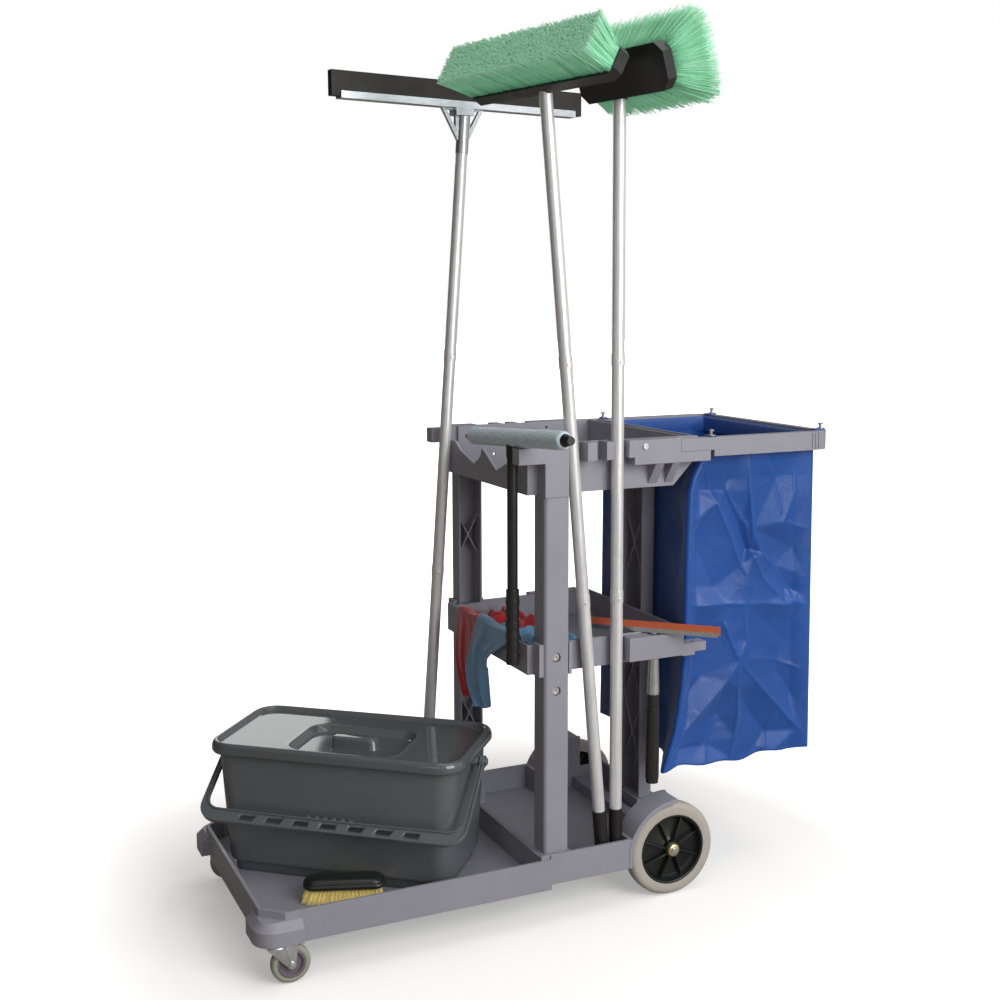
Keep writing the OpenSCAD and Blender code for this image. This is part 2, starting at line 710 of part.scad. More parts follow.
// ---- long tools: tube sections joined by collars, rubber boot below, head above
// lean of each pole about y, and height of its tube end along the pole
squeegee_lean = 4.09;
squeegee_tube = 1466;
long_lean = -5.06;
long_tube = 1546;
short_lean = -0.29;
short_tube = 1536;
boot_floor = 8;
joint_z = [560, 1032];

module squeegee_axis()
  translate([-146.9, 178, deck_floor_z + 1.2]) rotate([0, squeegee_lean, 0]) children();
module long_axis() translate([91.2, -222, 94.5]) rotate([0, long_lean, 0]) children();
module short_axis() translate([120.4, -222, 93.3]) rotate([0, short_lean, 0]) children();

module tubes(top) {
  ends = concat([boot_floor], joint_z, [top]);
  for (i = [0:2]) translate([0, 0, ends[i]]) difference() {
    cylinder(r = pole_r, h = ends[i + 1] - ends[i] - 0.2);
    translate([0, 0, -1]) cylinder(r = pole_r - 1.5, h = ends[i + 1] - ends[i] + 2);
  }
}
module collars() for (z = joint_z) translate([0, 0, z - 12]) {
  difference() {
    cylinder(r = pole_r + 0.9, h = 24);
    translate([0, 0, -1]) cylinder(r = pole_r, h = 30);
  }
  // a stud on each side
  for (side = [-1, 1]) translate([0, side * (pole_r + 0.7), 8]) rotate([-side * 90, 0, 0])
    cylinder(r = 3, h = 2.6, $fn = 24);
}
module boot() difference() {
  union() {
    cylinder(r = pole_r + 1.6, h = 116);
    cylinder(r1 = pole_r + 1.9, r2 = pole_r + 1.6, h = 12);
  }
  translate([0, 0, boot_floor]) cylinder(r = pole_r, h = 120);
}
module squeegee_pole_tubes() color(ALU) row() squeegee_axis() tubes(squeegee_tube);
module squeegee_pole_collars() color(ALU) row() squeegee_axis() collars();
module squeegee_pole_boot() color(BLACK) row() squeegee_axis() boot();
module long_brush_tubes() color(ALU) row() long_axis() tubes(long_tube);
module long_brush_collars() color(ALU) row() long_axis() collars();
module long_brush_boot() color(BLACK) row() long_axis() boot();
module short_brush_tubes() color(ALU) row() short_axis() tubes(short_tube);
module short_brush_collars() color(ALU) row() short_axis() collars();
module short_brush_boot() color(BLACK) row() short_axis() boot();

// floor squeegee head, held level above the leaning pole
squeegee_socket_z = squeegee_tube - 8;
squeegee_head_z = 1480;
squeegee_turn = 8.4;

module at_squeegee_head() squeegee_axis() translate([0, 0, squeegee_head_z])
  rotate([0, -squeegee_lean, 0]) rotate([0, 0, squeegee_turn]) children();
module squeegee_socket() cylinder(r = pole_r + 1.2, h = 76);
module squeegee_head() color(ZINC) row() {
  squeegee_axis() translate([0, 0, squeegee_socket_z]) difference() {
    squeegee_socket();
    translate([0, 0, -1]) cylinder(r = pole_r, h = 9);
  }
  at_squeegee_head() difference() {
    union() {
      // channel that clamps the rubber
      translate([-288, -13, 70]) cube([576, 26, 14]);
      // tapered bracket below it
      along_y(-4, 4) polygon([[-52, 71], [52, 71], [13, 4], [-13, 4]]);
      translate([-22, -15, 55]) cube([44, 30, 16]);
    }
    for (side = [-1, 1]) scale([side, 1, 1])
      along_y(-10, 10) polygon([[18, 66], [40, 66], [18, 30]]);
    translate([-320, -8, 74]) cube([640, 16, 20]);
    // room for the pole socket, turned back to the pole axis
    rotate([0, 0, -squeegee_turn]) rotate([0, squeegee_lean, 0])
      translate([0, 0, squeegee_socket_z - squeegee_head_z]) squeegee_socket();
  }
}
module squeegee_rubber() color(BLACK) row() at_squeegee_head() {
  for (y = [-8, 1.2])
    translate([-squeegee_length / 2, y, 74]) cube([squeegee_length, 6.8, 50]);
  translate([-squeegee_length / 2, -1.3, 74]) cube([squeegee_length, 2.6, 12]);
}

// brush heads: flat block with a socket for the pole and a flared field of bristles
block_thickness = 22;
bristle_z = block_thickness + 0.2;
long_block_w = 60;
short_block_w = 86;

module at_long_head() long_axis() translate([0, 0, 1561]) rotate([0, -long_lean, 0])
  rotate([0, 0, 13.4]) rotate([0, -61, 0]) translate([0, 0, -15]) children();
module at_short_head() short_axis() translate([0, 0, 1564]) rotate([0, -short_lean, 0])
  translate([-12, -38, 0]) rotate([0, 0, 11.3]) rotate([0, 71.6, 0])
    translate([0, 0, -11]) children();
module brush_block(length, width, chamfer) {
  x = width / 2;
  y = length / 2;
  linear_extrude(height = block_thickness) polygon([
    [-x, -y + chamfer], [-x + chamfer, -y], [x - chamfer, -y], [x, -y + chamfer],
    [x, y - chamfer], [x - chamfer, y], [-x + chamfer, y], [-x, y - chamfer]
  ]);
}
module bristle_field(length, width, height, flare) hull() {
  translate([-width / 2 + 4, -length / 2 + 4, bristle_z]) cube([width - 8, length - 8, 1]);
  translate([-width / 2 - flare, -length / 2 - flare, bristle_z + height - 1])
    cube([width + 2 * flare, length + 2 * flare, 1]);
}
module long_brush_block() color(BLACK) row() difference() {
  union() {
    at_long_head() brush_block(brush_long, long_block_w, 12);
    long_axis() translate([0, 0, long_tube - 10]) cylinder(r = pole_r + 2.5, h = 20);
  }
  long_axis() translate([0, 0, long_tube - 46]) cylinder(r = pole_r, h = 46);
}
module long_brush_bristles() color(GREEN) row() difference() {
  at_long_head() bristle_field(brush_long, long_block_w, 75.8, 11);
  long_axis() translate([0, 0, 1500]) cylinder(r = pole_r + 2.7, h = 64);
}
module short_brush_block() color(BLACK) row() difference() {
  union() {
    at_short_head() brush_block(brush_short, short_block_w, 18);
    short_axis() translate([0, 0, short_tube - 14]) cylinder(r = pole_r + 2.5, h = 22);
  }
  short_axis() translate([0, 0, short_tube - 46]) cylinder(r = pole_r, h = 46);
}
module short_brush_bristles() color(GREEN) row() difference() {
  at_short_head() bristle_field(brush_short, short_block_w, 71.8, 44);
  short_axis() translate([0, 0, 1480]) cylinder(r = pole_r + 2.7, h = 72);
}

// ---- window washer: grip and stem hanging in the front notch, T bar with fleece sleeve
bar_shift = 16.5; // middle of the bar, measured along it from the stem

module at_washer(z) translate([-97, -188, z]) children();
module at_bar()
  at_washer(979.5) rotate([0, 0, 6]) rotate([90, 0, 0]) rotate([-3.4, 0, 0]) children();
module washer_handle() color(BLACK) row() at_washer(0) {
  translate([0, 0, 531]) cylinder(r = 13, h = 150);
  // grip rings
  for (i = [0:5]) translate([0, 0, 540 + i * 22]) cylinder(r = 14, h = 12);
  translate([0, 0, 680]) cylinder(r = 10.5, h = 262);
}
module washer_bar() color(BLACK) row() {
  at_bar() difference() {
    translate([0, 0, bar_shift]) cylinder(r = 9, h = 352, center = true);
    cylinder(r = 5, h = 400, center = true);
  }
  // end caps
  at_bar() for (side = [-1, 1]) translate([0, 0, bar_shift + side * 169.2])
    rotate([0, 90 - side * 90, 0]) cylinder(r1 = 12.5, r2 = 8, h = 19);
  difference() {
    at_washer(942) cylinder(r = 12, h = 34);
    at_bar() cylinder(r = 8.5, h = 60, center = true);
  }
}
module washer_sleeve() color(FLEECE) row() difference() {
  at_bar() difference() {
    translate([0, 0, bar_shift]) cylinder(r = 18, h = 338, center = true);
    cylinder(r = 9.2, h = 400, center = true);
  }
  at_washer(930) cylinder(r = 13, h = 48);
}

// ---- window squeegee standing in the left side holder
module at_window_tool(z) translate([window_tool[0], window_tool[1], z]) children();
module window_squeegee_grip() color(BLACK) row() at_window_tool(250) {
  cylinder(r = 13, h = 190);
  translate([0, 0, 10]) cylinder(r = 14, h = 150);
}
module window_squeegee_ferrule() color(ZINC) row() at_window_tool(440) {
  cylinder(r1 = 13, r2 = 11, h = 70);
  translate([0, 0, 70]) cylinder(r = 11, h = 50);
  translate([0, 0, 120]) cylinder(r = 8, h = 9.5);
}
module at_blade() at_window_tool(569.5) rotate([0, 0, -44]) children();
module window_squeegee_channel() color(ZINC) row() at_blade() difference() {
  translate([-131, -6, 0]) cube([262, 12, 9]);
  translate([-140, -2.5, 3]) cube([280, 5, 10]);
}
module window_squeegee_blade() color(BLADE_ORANGE) row() at_blade()
  translate([-135, -2.4, 3.1]) cube([270, 4.8, 18]);

// ---- cloths hung over the front edge of the middle tray
cloth_z = 513.5; // underside of the part lying in the tray
// outlines of the hanging parts (y, z)
red_drape = [
  [140, 572], [142, 490], [118, 402], [80, 400], [20, 470], [-165, 500], [-165, 572]
];
blue_drape = [
  [86, 578], [84, 410], [60, 368], [25, 395], [-50, 470], [-110, 540], [-170, 545], [-170, 578]
];

module red_cloth() color(CLOTH_RED) row() {
  along_x(-77, -74) polygon(red_drape);
  box([-77, -165, 569.5], [-64, 140, 572.5]);
  box([-66.5, 20, cloth_z], [-62, 140, 572.5]);
  box([-64, 20, cloth_z], [104, 178, 562]);
}
module blue_cloth() color(CLOTH_BLUE) row() {
  along_x(-83.5, -80.5) polygon(blue_drape);
  box([-83.5, -170, 575.5], [-60, 86, 578.5]);
  box([-63.5, -170, cloth_z], [-60, 15, 578.5]);
  box([-63.5, -172, cloth_z], [100, 15, 564]);
}

function on(name) = node == "all" || node == name;
if (on("front_deck")) front_deck();
if (on("rear_deck")) rear_deck();
if (on("left_upright")) left_upright();
if (on("right_upright")) right_upright();
if (on("rear_upright")) rear_upright();
if (on("middle_tray")) middle_tray();
if (on("top_tray")) top_tray();
if (on("bag_rail")) bag_rail();
if (on("bag_hooks")) bag_hooks();
if (on("frame_bolts")) frame_bolts();
if (on("tray_screws")) tray_screws();
if (on("caster_plates")) caster_plates();
if (on("left_fork")) left_fork();
if (on("right_fork")) right_fork();
if (on("left_caster_axle")) left_caster_axle();
if (on("right_caster_axle")) right_caster_axle();
if (on("left_caster_hub")) left_caster_hub();
if (on("right_caster_hub")) right_caster_hub();
if (on("left_caster_tyre")) left_caster_tyre();
if (on("right_caster_tyre")) right_caster_tyre();
if (on("rear_axle")) rear_axle();
if (on("axle_caps")) axle_caps();
if (on("left_wheel_hub")) left_wheel_hub();
if (on("right_wheel_hub")) right_wheel_hub();
if (on("left_wheel_tyre")) left_wheel_tyre();
if (on("right_wheel_tyre")) right_wheel_tyre();
if (on("waste_bag")) waste_bag();
if (on("bag_eyelets")) bag_eyelets();
if (on("bucket_body")) bucket_body();
if (on("bucket_lid")) bucket_lid();
if (on("bucket_bail")) bucket_bail();
if (on("hand_brush_block")) hand_brush_block();
if (on("hand_brush_bristles")) hand_brush_bristles();
if (on("squeegee_pole_tubes")) squeegee_pole_tubes();
if (on("squeegee_pole_collars")) squeegee_pole_collars();
if (on("squeegee_pole_boot")) squeegee_pole_boot();
if (on("squeegee_head")) squeegee_head();
if (on("squeegee_rubber")) squeegee_rubber();
if (on("long_brush_tubes")) long_brush_tubes();
if (on("long_brush_collars")) long_brush_collars();
if (on("long_brush_boot")) long_brush_boot();
if (on("long_brush_block")) long_brush_block();
if (on("long_brush_bristles")) long_brush_bristles();
if (on("short_brush_tubes")) short_brush_tubes();
if (on("short_brush_collars")) short_brush_collars();
if (on("short_brush_boot")) short_brush_boot();
if (on("short_brush_block")) short_brush_block();
if (on("short_brush_bristles")) short_brush_bristles();
if (on("washer_handle")) washer_handle();
if (on("washer_bar")) washer_bar();
if (on("washer_sleeve")) washer_sleeve();
if (on("window_squeegee_grip")) window_squeegee_grip();
if (on("window_squeegee_ferrule")) window_squeegee_ferrule();
if (on("window_squeegee_channel")) window_squeegee_channel();
if (on("window_squeegee_blade")) window_squeegee_blade();
if (on("red_cloth")) red_cloth();
if (on("blue_cloth")) blue_cloth();
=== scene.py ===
# Cleaning cart with a waste bag, a lidded bucket, brushes, a window washer and two cloths.
# Shapes are given in cart millimetres: X runs from the casters (front, -X) to the large wheels
# and the bag (rear, +X), -Y is the left side, Z is up from the floor. to_frame() turns them
# into the shared frame in metres.
import bpy, bmesh, math, json
import numpy as np
from mathutils import Vector, Matrix, noise
from mathutils.geometry import delaunay_2d_cdt

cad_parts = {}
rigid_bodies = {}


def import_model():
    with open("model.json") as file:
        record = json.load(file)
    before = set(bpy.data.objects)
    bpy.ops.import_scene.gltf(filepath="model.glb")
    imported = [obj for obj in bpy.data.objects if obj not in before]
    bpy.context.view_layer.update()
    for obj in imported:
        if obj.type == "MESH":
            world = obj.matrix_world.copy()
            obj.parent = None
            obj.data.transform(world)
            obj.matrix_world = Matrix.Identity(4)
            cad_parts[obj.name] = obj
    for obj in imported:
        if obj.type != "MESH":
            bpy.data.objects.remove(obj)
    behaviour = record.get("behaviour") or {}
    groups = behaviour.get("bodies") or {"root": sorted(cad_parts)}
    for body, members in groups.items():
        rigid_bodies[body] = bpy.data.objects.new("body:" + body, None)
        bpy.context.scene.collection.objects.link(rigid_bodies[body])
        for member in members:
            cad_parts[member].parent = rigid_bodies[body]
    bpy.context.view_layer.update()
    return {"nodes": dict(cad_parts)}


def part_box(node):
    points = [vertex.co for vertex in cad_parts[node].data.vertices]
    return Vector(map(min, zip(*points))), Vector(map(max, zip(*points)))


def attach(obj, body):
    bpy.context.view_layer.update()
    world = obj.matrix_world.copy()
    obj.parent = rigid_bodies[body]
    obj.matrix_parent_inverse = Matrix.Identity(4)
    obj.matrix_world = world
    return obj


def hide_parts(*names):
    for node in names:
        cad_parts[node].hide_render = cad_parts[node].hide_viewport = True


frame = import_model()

AXLE_X, AXLE_Z = 250.6, 100.0          # rear axle
WHEEL_Y = 218                          # middle of each rear wheel, either side
CASTER_X, CASTER_Y = -604.0, 247.0     # caster swivel axis
CASTER_TRAIL, CASTER_RADIUS = 26.0, 37.5
SIDES = (("left", -1), ("right", 1))

axle_low, axle_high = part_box("rear_axle")
ORIGIN = np.array([AXLE_X / 1000 - (axle_low[0] + axle_high[0]) / 2,
                   -(axle_low[1] + axle_high[1]) / 2, 0])


def to_frame(points):
    """Cart millimetres to the shared frame in metres."""
    return np.asarray(points, float) / 1000 - ORIGIN


def detail(full, quick):
    """The full count; quick is not used."""
    return full


# ------------------------------------------------------------------ shader graphs
MIDDLE = (0.3, 0.7)    # the span that most noise values fall in


class Graph:
    """Node tree of a material or world; textures read `coords`."""

    def __init__(self, owner):
        owner.use_nodes = True
        self.tree = owner.node_tree

    def feed(self, socket, value):
        """Link a socket, or store a colour or plain value."""
        if isinstance(value, bpy.types.NodeSocket):
            self.tree.links.new(value, socket)
        elif isinstance(value, tuple) and socket.type == "RGBA":
            socket.default_value = (*value[:3], 1)
        else:
            socket.default_value = value

    def node(self, kind, inputs=None, **settings):
        node = self.tree.nodes.new(kind)
        for key, value in settings.items():
            setattr(node, key, value)
        for key, value in (inputs or {}).items():
            self.feed(node.inputs[key], value)
        return node

    def noise(self, scale, detail=3, roughness=0.55, vector=None, distortion=0):
        return self.node("ShaderNodeTexNoise", {
            "Scale": scale, "Detail": detail, "Roughness": roughness,
            "Distortion": distortion, "Vector": vector or self.coords}).outputs["Fac"]

    def remap(self, value, span=(0, 1), to=(0, 1)):
        return self.node("ShaderNodeMapRange", {
            "From Min": span[0], "From Max": span[1],
            "To Min": to[0], "To Max": to[1], "Value": value}).outputs["Result"]

    def math(self, operation, *values):
        return self.node("ShaderNodeMath", dict(enumerate(values)),
                         operation=operation).outputs[0]

    def dot(self, a, b):
        return self.node("ShaderNodeVectorMath", {0: a, 1: b},
                         operation="DOT_PRODUCT").outputs["Value"]

    def mix(self, factor, a, b):
        return self.node("ShaderNodeMix", {0: factor, 6: a, 7: b},
                         data_type="RGBA", blend_type="MIX").outputs[2]


class Surface(Graph):
    """Material around a Principled BSDF, textured in object coordinates (metres)."""

    def __init__(self, name):
        self.material = bpy.data.materials.new(name)
        super().__init__(self.material)
        self.coords = self.node("ShaderNodeTexCoord").outputs["Object"]

    def shade(self, inputs):
        """Feed the shader and return the finished material."""
        shader = self.tree.nodes["Principled BSDF"]
        for key, value in inputs.items():
            self.feed(shader.inputs[key], value)
        return self.material

    def bump(self, height, strength, distance, normal=None):
        inputs = {"Strength": strength, "Distance": distance, "Height": height}
        if normal is not None:
            inputs["Normal"] = normal
        return self.node("ShaderNodeBump", inputs).outputs["Normal"]

    def bevel(self, radius):
        """Rounded-edge normal, or None where the radius is zero."""
        if radius == 0:
            return None
        return self.node("ShaderNodeBevel", {"Radius": radius}, samples=4).outputs["Normal"]

    def clouds(self, scale, detail, low, high):
        """Soft large-scale variation between two colours."""
        return self.mix(self.remap(self.noise(scale, detail), span=MIDDLE), low, high)

    def uneven(self, scale, detail, low, high):
        """Roughness that drifts between two values."""
        return self.remap(self.noise(scale, detail), span=MIDDLE, to=(low, high))


def srgb(*channels):
    """0-255 display colour to linear."""
    return tuple((c / 255) / 12.92 if c <= 10 else (((c / 255) + 0.055) / 1.055) ** 2.4
                 for c in channels)


def tint(colour, factor):
    return tuple(min(1, c * factor) for c in colour)


# ------------------------------------------------------------------ materials
def plastic(name, colour, roughness, bevel=0.0, grain=0.12, grain_scale=1400, variation=0.08,
            edge_wear=0.0, dirt=0.0, specular=0.5):
    g = Surface(name)
    c = g.clouds(scale=7, detail=4, low=tint(colour, 1 - variation),
                 high=tint(colour, 1 + variation))
    # small darker flecks
    flecks = g.remap(g.noise(scale=60), span=(0.45, 0.75), to=(0, 0.35))
    c = g.mix(flecks, c, tint(colour, 1 - 1.4 * variation))
    normal = g.bevel(bevel)
    if edge_wear > 0:
        # edges are where the rounded normal leaves the true one
        true_normal = g.node("ShaderNodeNewGeometry").outputs["Normal"]
        edge = g.remap(g.dot(normal, true_normal), span=(0.86, 0.995), to=(1, 0))
        c = g.mix(g.math("MULTIPLY", edge, edge_wear), c, tint(colour, 1.5))
    if dirt > 0:
        patches = g.noise(scale=24, detail=5, roughness=0.7)
        c = g.mix(g.remap(patches, span=(0.55, 0.8), to=(0, dirt)), c, tint(colour, 0.55))
    return g.shade({
        "Base Color": c,
        "Roughness": g.uneven(scale=18, detail=4, low=roughness - 0.07, high=roughness + 0.09),
        "Specular IOR Level": specular,
        "Coat Roughness": 0.25,
        "Normal": g.bump(g.noise(scale=grain_scale, detail=2), strength=grain,
                         distance=0.0002, normal=normal)})


def brushed(name, colour, roughness, axis=2, metallic=1.0, bevel=0.0, streak=0.25):
    """Metal with fine streaks along one axis."""
    g = Surface(name)
    stretch = [420, 420, 420]
    stretch[axis] = 9
    mapping = g.node("ShaderNodeMapping", {"Scale": tuple(stretch), "Vector": g.coords})
    streaks = g.noise(scale=1, roughness=0.6, vector=mapping.outputs["Vector"])
    spots = g.noise(scale=45, detail=4)
    c = g.mix(g.remap(streaks, span=MIDDLE), tint(colour, 0.9), tint(colour, 1.08))
    c = g.mix(g.remap(spots, span=(0.5, 0.8), to=(0, 0.4)), c, tint(colour, 0.8))
    return g.shade({
        "Base Color": c,
        "Roughness": g.remap(streaks, span=MIDDLE, to=(roughness - 0.06, roughness + 0.1)),
        "Metallic": metallic,
        "Normal": g.bump(streaks, strength=streak, distance=0.00012,
                         normal=g.bevel(bevel))})


def zinc(name, colour=(0.66, 0.68, 0.7), roughness=0.3):
    """Plated metal with faint crystal cells."""
    g = Surface(name)
    cells = g.node("ShaderNodeTexVoronoi", {"Scale": 160, "Vector": g.coords})
    c = g.clouds(scale=90, detail=4, low=tint(colour, 0.9), high=tint(colour, 1.05))
    grey = g.node("ShaderNodeRGBToBW", {0: cells.outputs["Color"]}).outputs[0]
    return g.shade({
        "Base Color": g.mix(g.remap(grey, to=(0, 0.08)), c, tint(colour, 1.2)),
        "Metallic": 0.92,
        "Roughness": g.uneven(scale=40, detail=3, low=roughness - 0.08, high=roughness + 0.14),
        "Normal": g.bump(g.noise(scale=300), strength=0.12, distance=0.0002,
                         normal=g.bevel(0.0006))})


def fabric(name, colour, weave=1500, sheen=0.5, strength=0.35):
    g = Surface(name)
    c = g.clouds(scale=11, detail=4, low=tint(colour, 0.88), high=tint(colour, 1.12))
    threads = g.noise(scale=weave, roughness=0.6)
    c = g.mix(g.remap(threads, span=(0.45, 0.75), to=(0, 0.6)), c, tint(colour, 0.6))
    thread_normal = g.bump(threads, strength=strength, distance=0.0006)
    return g.shade({
        "Base Color": c,
        "Roughness": 0.85,
        "Specular IOR Level": 0.25,
        "Sheen Weight": sheen,
        "Sheen Roughness": 0.5,
        "Normal": g.bump(g.noise(scale=70, detail=4), strength=0.25, distance=0.0015,
                         normal=thread_normal)})


def bag_material():
    """Coated blue cloth with a fine square weave and soft wrinkles."""
    weave_frequency = 6283 / 1.1    # radians per metre: one thread every 1.1 mm
    g = Surface("bag_coated_fabric")
    colour = srgb(16, 76, 156)
    c = g.clouds(scale=6, detail=5, low=tint(colour, 0.82), high=tint(colour, 1.12))
    # painted highlight: lighter on convex folds, where the crests would catch the light; then
    # lighter in small scuffs
    pointiness = g.node("ShaderNodeNewGeometry").outputs["Pointiness"]
    c = g.mix(g.remap(pointiness, span=(0.51, 0.58), to=(0, 0.35)), c, tint(colour, 1.8))
    scuffs = g.noise(scale=140, detail=4, roughness=0.7)
    c = g.mix(g.remap(scuffs, span=(0.5, 0.8), to=(0, 0.18)), c, tint(colour, 1.5))
    x, y, z = g.node("ShaderNodeSeparateXYZ", {0: g.coords}).outputs
    across = g.math("SINE", g.math("MULTIPLY", g.math("ADD", x, y), weave_frequency))
    upward = g.math("SINE", g.math("MULTIPLY", z, weave_frequency))
    weave = g.bump(g.math("ADD", across, upward), strength=0.10, distance=0.00012)
    wrinkles = g.noise(scale=22, detail=5, distortion=0.8)
    return g.shade({
        "Base Color": c,
        "Roughness": g.uneven(scale=30, detail=4, low=0.36, high=0.5),
        "Specular IOR Level": 0.5,
        "Sheen Weight": 0.15,
        "Normal": g.bump(wrinkles, strength=0.45, distance=0.004, normal=weave)})


def fleece_material():
    """Pale blue pile with white honeycomb ridges."""
    g = Surface("fleece_honeycomb")
    colour = srgb(172, 210, 228)
    cells = g.node("ShaderNodeTexVoronoi", {"Scale": 255, "Randomness": 0.35,
                                            "Vector": g.coords}, feature="DISTANCE_TO_EDGE")
    ridge = g.remap(cells.outputs["Distance"], span=(0.0, 0.22), to=(1, 0))
    c = g.mix(ridge, srgb(240, 247, 250), colour)
    c = g.mix(g.remap(g.noise(scale=900), span=(0.4, 0.8), to=(0, 0.5)), c,
              tint(colour, 0.66))
    ridge_normal = g.bump(ridge, strength=0.7, distance=0.0012)
    return g.shade({
        "Base Color": c,
        "Roughness": 0.9,
        "Sheen Weight": 0.5,
        "Normal": g.bump(g.noise(scale=1600), strength=0.4, distance=0.0005,
                         normal=ridge_normal)})


def bristle_material(name, root, middle, tip):
    """Filaments: attribute t runs from root to tip, r is random for each filament."""
    g = Surface(name)
    along = g.node("ShaderNodeAttribute", attribute_name="t").outputs["Fac"]
    random = g.node("ShaderNodeAttribute", attribute_name="r").outputs["Fac"]
    # darker towards the roots: painted shade deep among the filaments near the block; lighter
    # towards the tips: the tips' own paler fringe together with painted light on the ends that
    # stand clear
    c = g.mix(g.remap(along, span=(0.0, 0.45)), root, middle)
    c = g.mix(g.remap(along, span=(0.72, 1.0)), c, tip)
    c = g.mix(g.remap(random, to=(0, 0.24)), c, tint(middle, 0.72))
    c = g.mix(g.remap(g.noise(scale=20), span=(0.45, 0.75), to=(0, 0.3)), c,
              tint(middle, 1.3))
    return g.shade({
        "Base Color": c,
        "Roughness": 0.55,
        "Specular IOR Level": 0.35,
        # a little glow for the light that passes between filaments
        "Emission Color": c,
        "Emission Strength": 0.15,
        "Normal": g.bump(g.noise(scale=500, detail=2), strength=0.1, distance=0.0003)})


def lid_material():
    """Polished dark grey moulding with a slight orange-peel."""
    g = Surface("lid_plastic")
    colour = srgb(84, 89, 93)
    return g.shade({
        "Base Color": g.clouds(scale=5, detail=3, low=tint(colour, 0.94),
                               high=tint(colour, 1.05)),
        "Roughness": g.uneven(scale=9, detail=3, low=0.05, high=0.10),
        "Specular IOR Level": 0.75,
        "Normal": g.bump(g.noise(scale=26, detail=2), strength=0.05, distance=0.0008)})


def floor_material():
    """Pale studio floor that fades to white away from the cart."""
    g = Surface("floor_paint")
    distance = g.node("ShaderNodeVectorMath", {0: g.coords}, operation="LENGTH")
    far = g.remap(distance.outputs["Value"], span=(0.75, 1.7))
    seen = g.node("ShaderNodeLightPath").outputs["Is Camera Ray"]
    # the camera sees the pale colour, bounced light picks up the darker one
    pale = g.clouds(scale=3, detail=3, low=(0.9, 0.9, 0.89), high=(0.92, 0.92, 0.915))
    return g.shade({
        "Base Color": g.mix(seen, (0.36, 0.33, 0.30), pale),
        "Roughness": 0.8,
        "Specular IOR Level": 0.1,
        "Emission Color": (1, 1, 1, 1),
        "Emission Strength": g.math("MULTIPLY", g.math("ADD", far, 0.30), seen)})


MAT = {
    "cart": plastic("cart_plastic", srgb(146, 146, 157), roughness=0.42, bevel=0.0016,
                    grain=0.10, edge_wear=0.35, dirt=0.12, variation=0.05),
    "bucket": plastic("bucket_plastic", srgb(92, 98, 102), roughness=0.3, grain=0.015,
                      variation=0.012, specular=0.6),
    "lid": lid_material(),
    "black": plastic("black_plastic", srgb(34, 35, 36), roughness=0.3, bevel=0.0012,
                     grain_scale=900, edge_wear=0.5),
    "hub": plastic("hub_plastic", srgb(26, 28, 29), roughness=0.33, bevel=0.001, grain=0.08,
                   edge_wear=0.35),
    "rubber": plastic("black_rubber", srgb(30, 29, 28), roughness=0.62, bevel=0.0006,
                      grain=0.2, grain_scale=700),
    "boot": plastic("boot_rubber", srgb(26, 26, 27), roughness=0.42, bevel=0.0006,
                    grain_scale=700),
    "tyre": plastic("wheel_tyre", srgb(178, 172, 164), roughness=0.6, grain=0.18,
                    grain_scale=500, dirt=0.35, variation=0.05),
    "caster_tyre": plastic("caster_tyre", srgb(150, 154, 138), roughness=0.55, grain=0.15,
                           grain_scale=600, dirt=0.4),
    "caster_hub": plastic("caster_hub", srgb(112, 102, 112), roughness=0.5, bevel=0.0006,
                          grain=0.15),
    "tube": brushed("aluminium_tube", (0.84, 0.85, 0.86), roughness=0.36, metallic=0.55,
                    streak=0.12),
    "channel": brushed("squeegee_channel", (0.60, 0.64, 0.68), roughness=0.34, axis=0,
                       bevel=0.0006),
    "zinc": zinc("zinc_plated"),
    "cap": zinc("yellow_zinc", (0.78, 0.68, 0.36), roughness=0.26),
    "steel": zinc("ferrule_steel", (0.62, 0.65, 0.66), roughness=0.22),
    "bag": bag_material(),
    "eyelet": zinc("eyelet_metal", (0.62, 0.58, 0.48)),
    "fleece": fleece_material(),
    "orange": plastic("orange_rubber", srgb(196, 96, 58), roughness=0.5, bevel=0.0006),
    "red": fabric("red_microfibre", srgb(188, 44, 52)),
    "blue": fabric("blue_microfibre", srgb(112, 158, 198)),
    "green": bristle_material("mint_bristles", root=srgb(112, 194, 152),
                              middle=srgb(160, 226, 188), tip=srgb(186, 238, 208)),
    "tan": bristle_material("straw_bristles", root=srgb(196, 172, 96),
                            middle=srgb(232, 214, 140), tip=srgb(244, 234, 180)),
    "green_core": fabric("mint_core", srgb(140, 218, 174), weave=700, sheen=0.1,
                         strength=0.6),
    "tan_core": fabric("straw_core", srgb(120, 100, 58), weave=700, sheen=0.1),
}

# CAD pieces that keep their shape, by material
CARRIED = {
    "cart": ["front_deck", "rear_deck", "left_upright", "right_upright", "rear_upright",
             "middle_tray", "top_tray", "bag_rail", "bag_hooks"],
    "zinc": ["frame_bolts", "tray_screws", "caster_plates", "left_caster_axle",
             "right_caster_axle", "rear_axle"],
    "tube": ["squeegee_pole_tubes", "long_brush_tubes", "short_brush_tubes",
             "squeegee_pole_collars", "long_brush_collars", "short_brush_collars"],
    "boot": ["squeegee_pole_boot", "long_brush_boot", "short_brush_boot"],
    "black": ["long_brush_block", "short_brush_block", "washer_handle", "washer_bar",
              "window_squeegee_grip"],
    "channel": ["squeegee_head"],
    "rubber": ["squeegee_rubber"],
    "steel": ["window_squeegee_ferrule", "window_squeegee_channel"],
    "orange": ["window_squeegee_blade"],
    "eyelet": ["bag_eyelets"],
}
for key, names in CARRIED.items():
    for name in names:
        slots = frame["nodes"][name].data.materials
        slots.clear()
        slots.append(MAT[key])


# ------------------------------------------------------------------ mesh tools
def smooth_below(mesh, angle):
    """Smooth shading with sharp edges above an angle; 180 leaves every edge smooth."""
    mesh.shade_smooth()
    if angle < 180:
        mesh.set_sharp_from_angle(angle=math.radians(angle))


